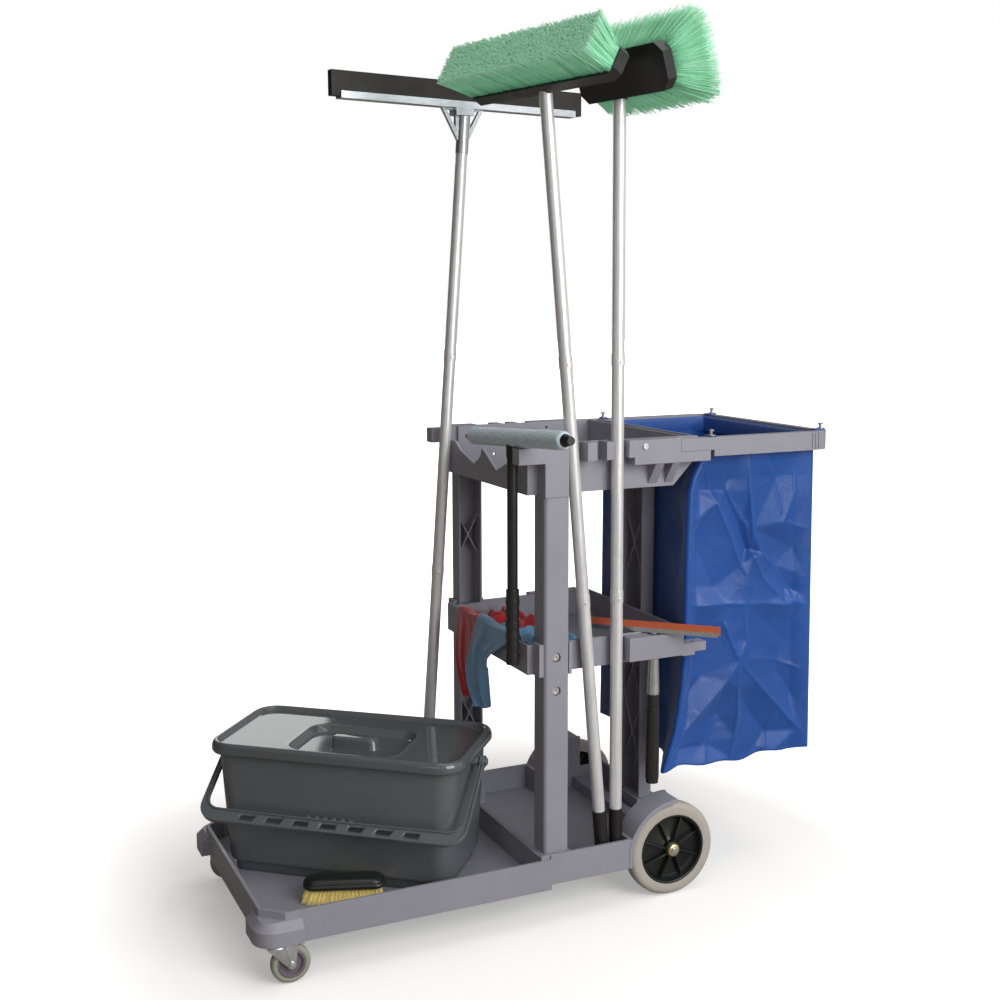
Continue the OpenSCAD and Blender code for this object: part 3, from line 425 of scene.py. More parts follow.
def add_object(name, mesh):
    obj = bpy.data.objects.new(name, mesh)
    bpy.context.scene.collection.objects.link(obj)
    return obj


def mesh_object(name, verts, faces, material, angle=38):
    """Object from vertices in frame metres; angle None keeps it flat."""
    mesh = bpy.data.meshes.new(name)
    mesh.from_pydata([tuple(p) for p in np.asarray(verts, float)], [], faces)
    mesh.update()
    bm = bmesh.new()
    bm.from_mesh(mesh)
    bmesh.ops.recalc_face_normals(bm, faces=bm.faces)
    bm.to_mesh(mesh)
    bm.free()
    if angle is not None:
        smooth_below(mesh, angle)
    mesh.materials.append(material)
    return add_object(name, mesh)


def bake(obj):
    """Apply the modifiers and keep a plain mesh."""
    depsgraph = bpy.context.evaluated_depsgraph_get()
    mesh = bpy.data.meshes.new_from_object(obj.evaluated_get(depsgraph))
    obj.modifiers.clear()
    old = obj.data
    obj.data = mesh
    bpy.data.meshes.remove(old)


def solidify(obj, thickness, offset):
    modifier = obj.modifiers.new("s", "SOLIDIFY")
    modifier.thickness = thickness / 1000
    modifier.offset = offset


def put(obj, body, slot, *nodes):
    """Tie an object to its body and hide the CAD pieces it replaces; slot is not used."""
    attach(obj, body)
    if nodes:
        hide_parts(*nodes)


def grid_faces(rows, columns, close_rows=False, close_columns=True):
    faces = []
    for i in range(rows if close_rows else rows - 1):
        a, b = i * columns, ((i + 1) % rows) * columns
        for j in range(columns if close_columns else columns - 1):
            k = (j + 1) % columns
            faces.append((a + j, a + k, b + k, b + j))
    return faces


def loft(name, rings, material, closed=False, angle=38):
    """Skin over rings in cart mm: capped at both ends, or closed end to end."""
    count, size = len(rings), len(rings[0])
    faces = grid_faces(count, size, close_rows=closed)
    if not closed:
        faces.append(tuple(range(size))[::-1])
        faces.append(tuple((count - 1) * size + j for j in range(size)))
    return mesh_object(name, to_frame(np.concatenate(rings)), faces, material, angle)


def revolve(name, profile, place, material, segments=72, closed=True, angle=38):
    """Turn a (radius, along) profile; place maps (across, across, along) to cart mm."""
    points = []
    for i in range(segments):
        a = 2 * math.pi * i / segments
        c, s = math.cos(a), math.sin(a)
        points += [place(r * c, r * s, along) for r, along in profile]
    faces = grid_faces(segments, len(profile), close_rows=True, close_columns=closed)
    return mesh_object(name, to_frame(points), faces, material, angle)


def around_y(centre, sign=1):
    """Placement for revolve about the Y axis through centre."""
    return lambda u, v, along: (centre[0] + u, centre[1] + sign * along, centre[2] + v)


def extrude(name, outline, start, end, place, material, bevel=0.0):
    """Extrude a 2-D outline (mm); place maps (u, v, depth) to cart mm."""
    n = len(outline)
    points = [place(u, v, depth) for depth in (start, end) for u, v in outline]
    faces = [tuple(range(n))[::-1], tuple(range(n, 2 * n))] + grid_faces(2, n)
    obj = mesh_object(name, to_frame(points), faces, material)
    if bevel > 0:
        modifier = obj.modifiers.new("b", "BEVEL")
        modifier.width = bevel / 1000
        modifier.segments = 2
        modifier.limit_method = "ANGLE"
        modifier.angle_limit = math.radians(40)
        modifier.use_clamp_overlap = False
        bake(obj)
        smooth_below(obj.data, 38)
    return obj


def join(name, parts):
    """Join pieces that share one moulding into one object."""
    bm = bmesh.new()
    materials = []
    for part in parts:
        for material in part.data.materials:
            if material not in materials:
                materials.append(material)
    for part in parts:
        first = len(bm.faces)
        bm.from_mesh(part.data)
        bm.faces.ensure_lookup_table()
        slots = [materials.index(m) for m in part.data.materials]
        for face in bm.faces[first:]:
            face.material_index = slots[face.material_index]
    mesh = bpy.data.meshes.new(name)
    bm.to_mesh(mesh)
    bm.free()
    for material in materials:
        mesh.materials.append(material)
    for part in parts:
        data = part.data
        bpy.data.objects.remove(part)
        bpy.data.meshes.remove(data)
    return add_object(name, mesh)


def rounded_rectangle(half_x, half_y, corner, steps, cx=0, cy=0):
    """Rounded rectangle as counter-clockwise points."""
    points = []
    for k, (sx, sy) in enumerate(((1, 1), (-1, 1), (-1, -1), (1, -1))):
        for i in range(steps + 1):
            a = math.radians(90 * k + 90 * i / steps)
            points.append((cx + sx * (half_x - corner) + corner * math.cos(a),
                           cy + sy * (half_y - corner) + corner * math.sin(a)))
    return np.array(points)


def arc(cx, cy, radius, start, end, steps):
    """Arc points, angles in degrees."""
    angles = [math.radians(start + (end - start) * i / steps) for i in range(steps + 1)]
    return [(cx + radius * math.cos(a), cy + radius * math.sin(a)) for a in angles]


def mirrored(half):
    """A (radius, along) half profile followed by its mirror image."""
    return half + [(r, -along) for r, along in half[::-1] if along != 0]


def rotate_x(degrees):
    a = math.radians(degrees)
    return np.array([[1, 0, 0], [0, math.cos(a), -math.sin(a)], [0, math.sin(a), math.cos(a)]])


def rotate_y(degrees):
    a = math.radians(degrees)
    return np.array([[math.cos(a), 0, math.sin(a)], [0, 1, 0], [-math.sin(a), 0, math.cos(a)]])


def rotate_z(degrees):
    a = math.radians(degrees)
    return np.array([[math.cos(a), -math.sin(a), 0], [math.sin(a), math.cos(a), 0], [0, 0, 1]])


# ------------------------------------------------------------------ bolt seats
def build_bolt_seats():
    """Dark rings around the upright bolts."""
    bolt_x, bolt_heights = -24, (478, 546)
    section = [(8.15, 228.4), (9.3, 228.4), (9.3, 229.4), (8.15, 229.4)]
    parts = [revolve("seat", section, around_y((bolt_x, 0, z), side), MAT["rubber"], 40)
             for side in (-1, 1) for z in bolt_heights]
    put(join("bolt_seats", parts), "cart_frame", "cart_plastic")


# ------------------------------------------------------------------ rear wheels
# profiles as (radius, along the axle); the hub's runs from the outer face inward
WHEEL_TYRE = mirrored([(75, -17.6), (77, -18.0), (88, -18.0), (93, -17.0), (96.8, -14.2),
                       (99.2, -9.5), (99.9, -4), (100, 0)])
WHEEL_HUB = [
    (6.05, -18.5), (14, -18.5), (16, -17.5), (17, -15), (18, -7), (24, -3), (62, -1),
    (67, -6), (69.2, -13), (70.2, -16.6), (71.5, -17.5), (74, -17.5), (74.9, -16.5),
    (74.9, 16.5), (74, 17.5), (71.5, 17.5), (70.2, 16.6), (69.2, 13), (67, 8), (62, 4.5),
    (24, 4.5), (18, 8), (17, 15), (16, 17.5), (14, 18.5), (6.05, 18.5)]
VANES = 8
VANE_HALF_THICKNESS = 1.7
VANE_FACES = ((1, 0.2, 14.5), (-1, 4.0, 13.5))    # face (1 is outer), vane base, vane top


def vane_place(angle, wheel_y, direction):
    """u runs outward from the axle, v along it, depth across the slightly slanted vane."""
    c, s = math.cos(angle), math.sin(angle)

    def place(u, v, depth):
        across = depth + (v - 4) * 0.22
        return (AXLE_X + u * c - across * s, wheel_y + direction * v,
                AXLE_Z + u * s + across * c)
    return place


def build_rear_wheel(name, side):
    wheel_y = side * WHEEL_Y
    centre = (AXLE_X, wheel_y, AXLE_Z)
    body = name + "_rear_wheel"
    tyre = revolve(name + "_tyre", WHEEL_TYRE, around_y(centre), MAT["tyre"], 96, angle=60)
    put(tyre, body, "wheel_tyre", name + "_wheel_tyre")
    parts = [revolve("disc", WHEEL_HUB, around_y(centre, -side), MAT["hub"], 96)]
    for i in range(VANES):
        angle = math.radians(22.5 + 360 / VANES * i)
        for face, base, top in VANE_FACES:
            outline = [(16.5, base), (69.0, base), (69.0, top - 4.5), (60, top - 2.5),
                       (24, top + 1.5), (16.5, top + 1.5)]
            parts.append(extrude("vane", outline, -VANE_HALF_THICKNESS, VANE_HALF_THICKNESS,
                                 vane_place(angle, wheel_y, side * face), MAT["hub"], 0.7))
    put(join(name + "_hub", parts), body, "wheel_hub", name + "_wheel_hub")


def build_wheel_caps():
    """Domed caps with a hexagonal face."""
    dome = [(6.0, 237.2), (13.2, 237.2), (13.8, 238.2), (13.6, 240.2), (11.6, 242.4),
            (9.6, 243.4), (6.2, 243.9), (6.0, 243.9)]
    angles = [math.radians(60 * i + 12) for i in range(6)]
    hexagon = [(8.2 * math.cos(a), 8.2 * math.sin(a)) for a in angles]
    parts = []
    for side in (-1, 1):
        parts.append(revolve("dome", dome, around_y((AXLE_X, 0, AXLE_Z), side),
                             MAT["cap"], 48))
        parts.append(extrude("hexagon", hexagon, 244.05, 246.0,
                             lambda u, v, depth: (AXLE_X + u, side * depth, AXLE_Z + v),
                             MAT["zinc"], 0.7))
    put(join("wheel_caps", parts), "cart_frame", "axle_cap", "axle_caps")


# ------------------------------------------------------------------ casters
# profiles as (radius, along the axle)
CASTER_TYRE = mirrored([(27, -9.5), (28, -10), (32, -10), (35, -8.6), (36.8, -6),
                        (37.4, -2.5), (CASTER_RADIUS, 0)])
CASTER_HUB = mirrored([(4.05, -10.7), (8, -10.7), (9, -9.7), (9.5, -5), (12, -3.6),
                       (20.5, -3.6), (21.6, -5), (22.2, -8.4), (23, -9.1), (26, -9.1),
                       (26.9, -8.4)])
# swivel crown as (radius, height)
CROWN = [(5.05, 76.0), (20, 76.0), (22.5, 76.6), (23, 78.0), (22.2, 79.4), (20.8, 81.0),
         (19.6, 81.3), (5.05, 81.3)]
# fork outlines as (x from the swivel axis, height) or, for the top, (x, y)
FORK_PLATE = ([(-17, 78.6), (-19.5, 77.0), (-19.5, 74.5)]
              + arc(CASTER_TRAIL, CASTER_RADIUS, 8.5, 200, 380, 10)
              + [(37.5, 71), (37.5, 77.0), (35.5, 78.6)])
FORK_CREASE = [(12, 77.5), (17, 77.5), (CASTER_TRAIL - 2.0, CASTER_RADIUS + 9),
               (CASTER_TRAIL - 6, CASTER_RADIUS + 7)]
FORK_TOP = [(-19.5, -13.4), (37.5, -13.4), (37.5, 13.4), (-19.5, 13.4)]


def build_caster(name, side):
    y = side * CASTER_Y
    centre = (CASTER_X + CASTER_TRAIL, y, CASTER_RADIUS)
    wheel = name + "_caster_wheel"
    tyre = revolve(name + "_ctyre", CASTER_TYRE, around_y(centre), MAT["caster_tyre"],
                   angle=60)
    put(tyre, wheel, "caster_tyre", name + "_caster_tyre")
    hub = revolve(name + "_chub", CASTER_HUB, around_y(centre), MAT["caster_hub"], 60)
    put(hub, wheel, "caster_hub", name + "_caster_hub")

    def level(u, v, height):
        return (CASTER_X + u, y + v, height)

    parts = [revolve("crown", CROWN, level, MAT["zinc"], 60)]
    for face in (-1, 1):
        def upright(u, v, depth):
            return (CASTER_X + u, y + face * depth, v)
        parts.append(extrude("plate", FORK_PLATE, 11.4, 13.4, upright, MAT["zinc"], 0.5))
        # raised crease on each side plate
        parts.append(extrude("crease", FORK_CREASE, 13.2, 14.6, upright, MAT["zinc"], 0.6))
    parts.append(extrude("top", FORK_TOP, 76.2, 78.6, level, MAT["zinc"], 0.8))
    put(join(name + "_caster_fork_body", parts), name + "_caster_fork", "zinc_steel",
        name + "_fork")


# ------------------------------------------------------------------ bucket
BUCKET = np.array([-362.0, 15.0, 92.0])      # middle of the bucket's underside
BUCKET_TURN = math.radians(-40)
BUCKET_LONG = np.array([math.cos(BUCKET_TURN), math.sin(BUCKET_TURN), 0])
BUCKET_SHORT = np.array([-math.sin(BUCKET_TURN), math.cos(BUCKET_TURN), 0])
PIVOT_Z = 238.0                              # bail pivots above the underside
RECESS_CENTRE = (8, -21)                     # hand recess in the lid (long, short)
GRIP_CENTRE = (12, -21)

# stations as (half length, half width, corner radius, height)
TUB = [
    (221, 100, 22, 0.3), (226, 105, 25, 0.6), (228, 106.5, 26, 2), (228.5, 107, 27, 19),
    (230, 108, 28, 21), (235, 113, 33, 22.0), (238, 115, 34, 24), (239.3, 116.4, 35, 30),
    (245.6, 120.5, 38, 137), (251.8, 124.6, 40, 236), (252.3, 125, 40, 243),
    (252.3, 125, 40, 249.3), (249.4, 122, 38, 249.3), (242.6, 117, 36, 137),
    (236, 113, 32, 32), (232, 109, 28, 25), (205, 84, 20, 23.5)]
LID = [
    (252.4, 125.2, 40, 250.2), (262, 134, 46, 250.2), (265.5, 137, 49, 251.4),
    (267.3, 138.8, 50, 254.5), (267.5, 139, 50, 258), (267.3, 138.8, 50, 264),
    (265.8, 137.4, 49, 269), (263, 134.8, 47, 272.6), (259.5, 131.4, 44, 274.6),
    (256.5, 128.4, 42, 274.4), (253.6, 125.6, 40, 272.4), (251.5, 123.4, 38, 268.6),
    (249.5, 121.6, 36, 266.2), (246, 118, 34, 265.6), (242, 114, 32, 265.5),
    (236, 110, 31, 265.5)]
LID_RECESS = [
    (127, 91, 42, 265.5), (122, 87, 40, 265.5), (119.5, 84.5, 39, 266.2),
    (118, 83, 38, 266.0), (117, 82, 37, 264.6), (109, 74, 31, 254.6),
    (106.5, 71.5, 29, 252.9), (100, 65, 24, 252.5)]
LID_GRIP = [
    (52, 19, 15, 252.3), (50.5, 17.5, 14, 256), (49, 16, 13, 267), (47.5, 14.8, 12.5, 271.0),
    (45, 12.8, 11, 273.6), (41, 9.8, 8, 274.6)]
# (radius, distance from the bucket's middle)
PIVOT_PIN = [(0.01, 248), (9.5, 248), (9.5, 266), (8.6, 267.5), (5.0, 267.5), (5.0, 281.5),
             (7.6, 281.5), (7.9, 283), (7.0, 284.6), (0.01, 284.6)]
BAIL_EYE = [(5.05, 270.2), (11, 270.2), (12, 271.2), (12, 280), (11, 281), (5.05, 281)]


def bucket_point(along, across, z):
    return BUCKET + BUCKET_LONG * along + BUCKET_SHORT * across + np.array([0, 0, z])


def bucket_rings(stations, centre=(0, 0)):
    return [[bucket_point(u + centre[0], v + centre[1], z)
             for u, v in rounded_rectangle(half_u, half_v, corner, 9)]
            for half_u, half_v, corner, z in stations]


def about_pivots(end):
    """Placement for revolve about the bail's pivot axis, at one end of the bucket."""
    return lambda u, v, along: bucket_point(end * along, u, PIVOT_Z + v)


def build_bucket():
    parts = [loft("tub", bucket_rings(TUB), MAT["bucket"], angle=50)]
    for end in (-1, 1):
        pin = revolve("pin", PIVOT_PIN, about_pivots(end), MAT["bucket"], 32, closed=False)
        # weld the tiny end circles
        bm = bmesh.new()
        bm.from_mesh(pin.data)
        bmesh.ops.remove_doubles(bm, verts=bm.verts, dist=3e-5)
        bm.to_mesh(pin.data)
        bm.free()
        parts.append(pin)
    put(join("bucket_shell", parts), "bucket", "bucket_plastic", "bucket_body")


def build_lid():
    # one surface: the panel runs on into the hand recess, set towards one long edge
    pan = bucket_rings(LID) + bucket_rings(LID_RECESS, RECESS_CENTRE)
    parts = [loft("pan", pan, MAT["lid"], angle=42),
             loft("grip", bucket_rings(LID_GRIP, GRIP_CENTRE), MAT["lid"], angle=60)]
    put(join("lid_moulding", parts), "lid", "bucket_plastic", "bucket_lid")


# ------------------------------------------------------------------ bail
BAIL_DROP = math.radians(37)                 # how far the bail hangs below level
BAIL_REACH = -math.cos(BAIL_DROP) * BUCKET_SHORT + np.array([0, 0, -math.sin(BAIL_DROP)])
BAIL_FACE = math.sin(BAIL_DROP) * BUCKET_SHORT + np.array([0, 0, -math.cos(BAIL_DROP)])
SLOT_PITCH, SLOT_HALF_LENGTH, SLOT_RADIUS, SLOT_REACH = 58, 11, 5.2, 181.5
SCALLOP_PITCH, SCALLOP_RADIUS = 18, 5.2


def bail_point(along, reach, depth):
    """along the bucket, out from the pivots, through the band."""
    return (bucket_point(0, 0, PIVOT_Z) + BUCKET_LONG * along + BAIL_REACH * reach
            + BAIL_FACE * depth)


def bail_edge(arm, straight, bend, bulge):
    """Edge of the band as (along, reach): arm, bend, crossbar and the mirror image."""
    steps = 24
    centre = arm - bend
    half = [(-arm, straight * k / 6) for k in range(7)]
    half += arc(-centre, straight, bend, 180, 90, 12)[1:]
    half += [(-centre + centre * k / steps,
              straight + bend + bulge * math.sin(math.pi * k / steps / 2))
             for k in range(1, steps + 1)]
    return half + [(-u, reach) for u, reach in half[:-1]][::-1]


def bail_rings():
    rings = []
    near = bail_edge(arm=270.2, straight=136, bend=30, bulge=2.0)
    far = bail_edge(arm=281, straight=156, bend=40, bulge=0)
    for p, q in zip(near, far):
        width = math.hypot(q[0] - p[0], q[1] - p[1])
        # chamfer and rim width as fractions of the band's width
        chamfer, rim = 0.9 / width, 3.4 / width
        # section as (fraction across, depth), with raised rims on one face
        section = [
            (0, 4.2), (chamfer, 5), (1 - chamfer, 5), (1, 4.2), (1, -4.4),
            (1 - chamfer, -5.2), (1 - rim, -5.2), (1 - 1.35 * rim, -2.0),
            (1.35 * rim, -2.0), (rim, -5.2), (chamfer, -5.2), (0, -4.4)]
        rings.append([bail_point(p[0] + (q[0] - p[0]) * f, p[1] + (q[1] - p[1]) * f, depth)
                      for f, depth in section])
    return rings


def build_bail():
    band = loft("bail_band", bail_rings(), MAT["bucket"], angle=35)
    cutters = []
    for i in range(-3, 4):
        middle = i * SLOT_PITCH
        slot = (arc(middle + SLOT_HALF_LENGTH, SLOT_REACH, SLOT_RADIUS, -90, 90, 8)
                + arc(middle - SLOT_HALF_LENGTH, SLOT_REACH, SLOT_RADIUS, 90, 270, 8))
        cutter = extrude("cut", slot, -20, 20, bail_point, MAT["bucket"])
        cutters.append(cutter)
        modifier = band.modifiers.new("c%d" % (i + 3), "BOOLEAN")
        modifier.operation = "DIFFERENCE"
        modifier.object = cutter
        modifier.solver = "EXACT"
    bake(band)
    for cutter in cutters:
        bpy.data.objects.remove(cutter)
    parts = [band]
    for end in (-1, 1):
        parts.append(revolve("eye", BAIL_EYE, about_pivots(end), MAT["bucket"], 40))
    for i in range(6):
        # scalloped finger grip on the crossbar's pivot-side edge
        middle = -45 + i * SCALLOP_PITCH
        scallop = ([(middle - 7.5, 169.5)]
                   + arc(middle, 167.2, SCALLOP_RADIUS, 180, 360, 8)
                   + [(middle + 7.5, 169.5)])
        parts.append(extrude("scallop", scallop, -4.6, 4.2, bail_point, MAT["bucket"], 0.8))
    put(join("bail_moulding", parts), "bail", "bucket_plastic", "bucket_bail")


# ------------------------------------------------------------------ bristles
def strands(name, origin, axes, roots, directions, lengths, bends, radius, material,
            segments, tip, seed):
    """Closed three-sided filaments, given in mm in a block's own axes.

    bends shift the tips sideways, tip is the tip radius over the root radius.
    """
    rs = np.random.RandomState(seed)
    n = len(roots)
    base = to_frame(origin + roots @ axes.T)
    d = directions @ axes.T
    d = d / np.linalg.norm(d, axis=1)[:, None]
    bends = bends @ axes.T / 1000
    reference = np.tile(np.array([0.0, 0.0, 1.0]), (n, 1))
    reference[np.abs(d[:, 2]) > 0.9] = (1, 0, 0)
    side = np.cross(d, reference)
    side /= np.linalg.norm(side, axis=1)[:, None]
    other = np.cross(d, side)
    phase = rs.rand(n) * 2 * math.pi
    random = rs.rand(n)
    points, along = [], []
    for k in range(segments + 1):
        t = k / segments
        p = base + d * (lengths / 1000 * t)[:, None] + bends * (t * t)
        r = radius / 1000 * (1 - (1 - tip) * t)
        for j in range(3):
            a = phase + j * 2 * math.pi / 3
            points.append(p + side * (np.cos(a) * r)[:, None]
                          + other * (np.sin(a) * r)[:, None])
            along.append(t)
    points = np.stack(points, 1).reshape(-1, 3)
    per_strand = 3 * (segments + 1)
    last = segments * 3
    first_vertex = np.arange(n)[:, None, None] * per_strand
    quads = np.array([(k * 3 + j, k * 3 + (j + 1) % 3, k * 3 + (j + 1) % 3 + 3, k * 3 + j + 3)
                      for k in range(segments) for j in range(3)])
    quads = (quads[None] + first_vertex).reshape(-1, 4)
    caps = np.array([[2, 1, 0], [last, last + 1, last + 2]])
    caps = (caps[None] + first_vertex).reshape(-1, 3)
    mesh = bpy.data.meshes.new(name)
    mesh.vertices.add(len(points))
    mesh.vertices.foreach_set("co", points.astype(np.float32).ravel())
    loops = np.concatenate([quads.ravel(), caps.ravel()]).astype(np.int32)
    mesh.loops.add(len(loops))
    mesh.loops.foreach_set("vertex_index", loops)
    mesh.polygons.add(len(quads) + len(caps))
    starts = np.concatenate([np.arange(len(quads)) * 4,
                             len(quads) * 4 + np.arange(len(caps)) * 3])
    mesh.polygons.foreach_set("loop_start", starts.astype(np.int32))
    mesh.update(calc_edges=True)
    for key, values in (("t", np.tile(along, n)), ("r", np.repeat(random, per_strand))):
        attribute = mesh.attributes.new(key, "FLOAT", "POINT")
        attribute.data.foreach_set("value", values.astype(np.float32))
    mesh.shade_smooth()
    mesh.materials.append(material)
    return add_object(name, mesh)


def head_frame(foot_x, foot_z, tilt, along, shift, yaw, lean):
    """Origin and axes of a brush block at the top of its tilted pole.

    In the block's axes x runs across it, y along it and z the way the bristles point.
    """
    pole_y = -222.0
    pole_top = np.array([foot_x, pole_y, foot_z]) + rotate_y(tilt) @ np.array([0, 0, along])
    return pole_top + np.array(shift, float), rotate_z(yaw) @ rotate_y(lean)


def round_corner(x, y, half_x, half_y, radius):
    """Pull a point of the rectangle in so that the outline gets round corners."""
    cx, cy = half_x - radius, half_y - radius
    dx, dy = abs(x) - cx, abs(y) - cy
    if dx > 0 and dy > 0:
        k = max(dx, dy) / math.hypot(dx, dy)
        return math.copysign(cx + dx * k, x), math.copysign(cy + dy * k, y)
    return x, y


def brush_field(kind, head, length, width, root_z, height, flare, corner, rows, columns,
                seed, jitter, trim, dome, bow, core_share, core_drop):
    """Tufts over a block, widening by flare on each side, and a solid core inside them.

    dome lowers the outer tips, bow bends the tufts outward, jitter scatters the tips and
    trim shortens filaments at random.
    """
    origin, axes = head
    rs = np.random.RandomState(seed)
    tip_x, tip_y = width / 2 + flare, length / 2 + flare
    roots, directions, lengths, bends = [], [], [], []
    for i in range(rows):
        for j in range(columns):
            u = (i + 0.5) / rows * 2 - 1
            v = (j + 0.5) / columns * 2 - 1
            tuft = np.array([v * (width / 2 - 5), u * (length / 2 - 5), root_z])
            drop = dome * max(abs(u), abs(v)) ** 3
            for _ in range(detail(17, 10)):
                a, r = rs.rand() * 2 * math.pi, math.sqrt(rs.rand()) * 3.6
                root = tuft + np.array([r * math.cos(a), r * math.sin(a), 0])
                end_u = u + r * math.sin(a) * 2.1 / length
                end_v = v + r * math.cos(a) * 2.1 / width
                end_x, end_y = round_corner(end_v * tip_x, end_u * tip_y, tip_x, tip_y, corner)
                end = (np.array([end_x, end_y, root_z + height - drop])
                       + rs.normal(0, 1, 3) * np.array([jitter * height, jitter * height, 0]))
                roots.append(root)
                directions.append(end - root)
                lengths.append(np.linalg.norm(end - root) * (1 - trim * rs.rand()))
                bends.append(np.array([v * bow, u * bow, 0]) + rs.normal(0, 0.5, 3))
    body = kind + "_brush"
    bristles = strands(kind + "_bristles", origin, axes, np.array(roots),
                       np.array(directions), np.array(lengths), np.array(bends),
                       radius=1.05, material=MAT["green"], segments=4, tip=0.75, seed=seed)
    put(bristles, body, "brush_green", body + "_bristles")
    # inner mass so that the field reads as full
    rings = []
    for k in range(7):
        t = k / 6 * core_share
        grow = (flare + 1) * t * 0.93
        outline = rounded_rectangle(width / 2 - 5.5 + grow, length / 2 - 5.5 + grow,
                                    5 + (corner - 4) * t, 5)
        z = root_z + 0.4 + (height - core_drop) * t
        rings.append([origin + axes @ np.array([x, y, z]) for x, y in outline])
    core = loft(kind + "_bristles_core", rings, MAT["green_core"], angle=60)
    put(core, body, "brush_green")


def build_brush_heads():
    long_head = head_frame(foot_x=91.2, foot_z=94.5, tilt=-5.06, along=1561,
                           shift=(0, 0, 0), yaw=13.4, lean=-61)
    short_head = head_frame(foot_x=120.4, foot_z=93.3, tilt=-0.29, along=1564,
                            shift=(-12, -38, 0), yaw=11.3, lean=71.6)
    brush_field("long", long_head, length=406, width=60, root_z=7.2, height=76, flare=11,
                corner=10, rows=detail(52, 46), columns=8, seed=11, jitter=0.03, trim=0.02,
                dome=0, bow=0.6, core_share=0.95, core_drop=1)
    flare = 42
    brush_field("short", short_head, length=246, width=86, root_z=11.2, height=72,
                flare=flare, corner=46, rows=detail(32, 28), columns=12, seed=12,
                jitter=0.035, trim=0.04, dome=flare * 0.20, bow=0.10 * flare,
                core_share=0.9, core_drop=flare * 0.22)


# ------------------------------------------------------------------ hand brush
HAND_BRUSH = np.array([-440.0, -150.0, 92.0])
HAND_BRUSH_AXES = rotate_z(-20)
# stations as (half length, half width, corner radius, height, depth of the waist)
HAND_BRUSH_BLOCK = [
    (72, 24, 18, 28.2, 0.0), (76, 27, 20, 29, 0.02), (79.5, 29.5, 22, 31.5, 0.04),
    (80, 30, 22, 35, 0.06), (78, 28.6, 21, 38.5, 0.08), (75.5, 26.5, 20, 39.6, 0.10),
    (74.5, 25.6, 20, 40.6, 0.12), (75, 26, 20, 42, 0.14), (74.5, 25, 19, 45, 0.16),
    (71, 22, 17, 48.6, 0.18), (64, 16.5, 13, 50.2, 0.2), (50, 9, 7, 50.6, 0.2)]
TUFT_ROWS, TUFT_COLUMNS = 19, 7


def build_hand_brush_block():
    rings = []
    for half_x, half_y, corner, height, waist in HAND_BRUSH_BLOCK:
        ring = []
        for x, y in rounded_rectangle(half_x, half_y, corner, 9):
            y *= 1 - waist * math.exp(-((x - 6) / 34.0) ** 2)
            # the top arches along its length
            z = height + 1.8 * math.cos(x / 26.0) - 1.8 if height > 40 else height
            ring.append(HAND_BRUSH + HAND_BRUSH_AXES @ np.array([x, y, z]))
        rings.append(ring)
    block = loft("hand_brush_body", rings, MAT["black"], angle=50)
    put(block, "hand_brush", "black_plastic", "hand_brush_block")


def build_hand_brush_filaments():
    root_z, drop = 28.4, 26.6
    rs = np.random.RandomState(5)
    roots, directions, lengths, bends = [], [], [], []
    for i in range(TUFT_ROWS):
        for j in range(TUFT_COLUMNS):
            u = (i + 0.5) / TUFT_ROWS * 2 - 1
            v = (j + 0.5) / TUFT_COLUMNS * 2 - 1
            if u * u > 0.8 and v * v > 0.7:
                continue    # no tufts in the corners
            for _ in range(detail(22, 13)):
                # 6.283 is a full turn
                a, r = rs.rand() * 6.283, math.sqrt(rs.rand()) * 3.0
                roots.append((u * 70 + r * math.cos(a), v * 22 + r * math.sin(a), root_z))
                # the tufts fan out, most of all at the -x end
                d = (np.array([u * (0.46 if u < 0 else 0.16), v * 0.34, -1.0])
                     + rs.normal(0, 0.06, 3))
                directions.append(d)
                lengths.append(drop / abs(d[2] / np.linalg.norm(d)) * (0.96 + 0.04 * rs.rand()))
                bends.append(rs.normal(0, 0.5, 3))
    bends = np.array(bends)
    bends[:, 2] = 0
    filaments = strands("hand_brush_filaments", HAND_BRUSH, HAND_BRUSH_AXES, np.array(roots),
                        np.array(directions), np.array(lengths), bends, radius=0.85,
                        material=MAT["tan"], segments=3, tip=0.8, seed=3)
    put(filaments, "hand_brush", "brush_tan", "hand_brush_bristles")


# ------------------------------------------------------------------ washer sleeve
def build_washer_sleeve():
    """Fleece tube, slightly squared, with soft lumps."""
    origin = np.array([-97.0, -188.0, 979.5])
    # the tube's own z axis is laid along -Y, then tipped and turned a little
    lay_down = np.array([[1, 0, 0], [0, 0, -1], [0, 1, 0]])
    axes = rotate_z(6) @ lay_down @ rotate_x(-3.4)
    start, end = -152.5, 185.5
    bore, segments, steps = 9.2, 56, 60
    rim = [(9.3, 0.5), (13.5, 0), (16.2, 1.8), (17.6, 5)]    # (radius, distance from the end)
    profile = [(bore, start + 0.5 + 1)] + [(r, start + inset) for r, inset in rim]
    profile += [(17.9, start + 5 + (end - start - 10) * i / steps) for i in range(1, steps)]
    profile += [(r, end - inset) for r, inset in rim[::-1]] + [(bore, end - 0.5 - 1)]
    rings = []
    for r, z in profile:
        ring = []
        for i in range(segments):
            a = 2 * math.pi * i / segments
            k = 1.0
            if r > 15:
                k = (1 - 0.035 * abs(math.sin(2 * a)) + 0.012 * math.sin(z / 23.0 + 2 * a)
                     + 0.008 * math.sin(z / 9.0 + 5 * a))
                k = min(k, 1.0)
            ring.append(origin + axes @ np.array([r * k * math.cos(a),
                                                  r * k * math.sin(a), z]))
        rings.append(ring)
    sleeve = loft("fleece_tube", rings, MAT["fleece"], closed=True, angle=70)
    put(sleeve, "window_washer", "fleece_sleeve", "washer_sleeve")


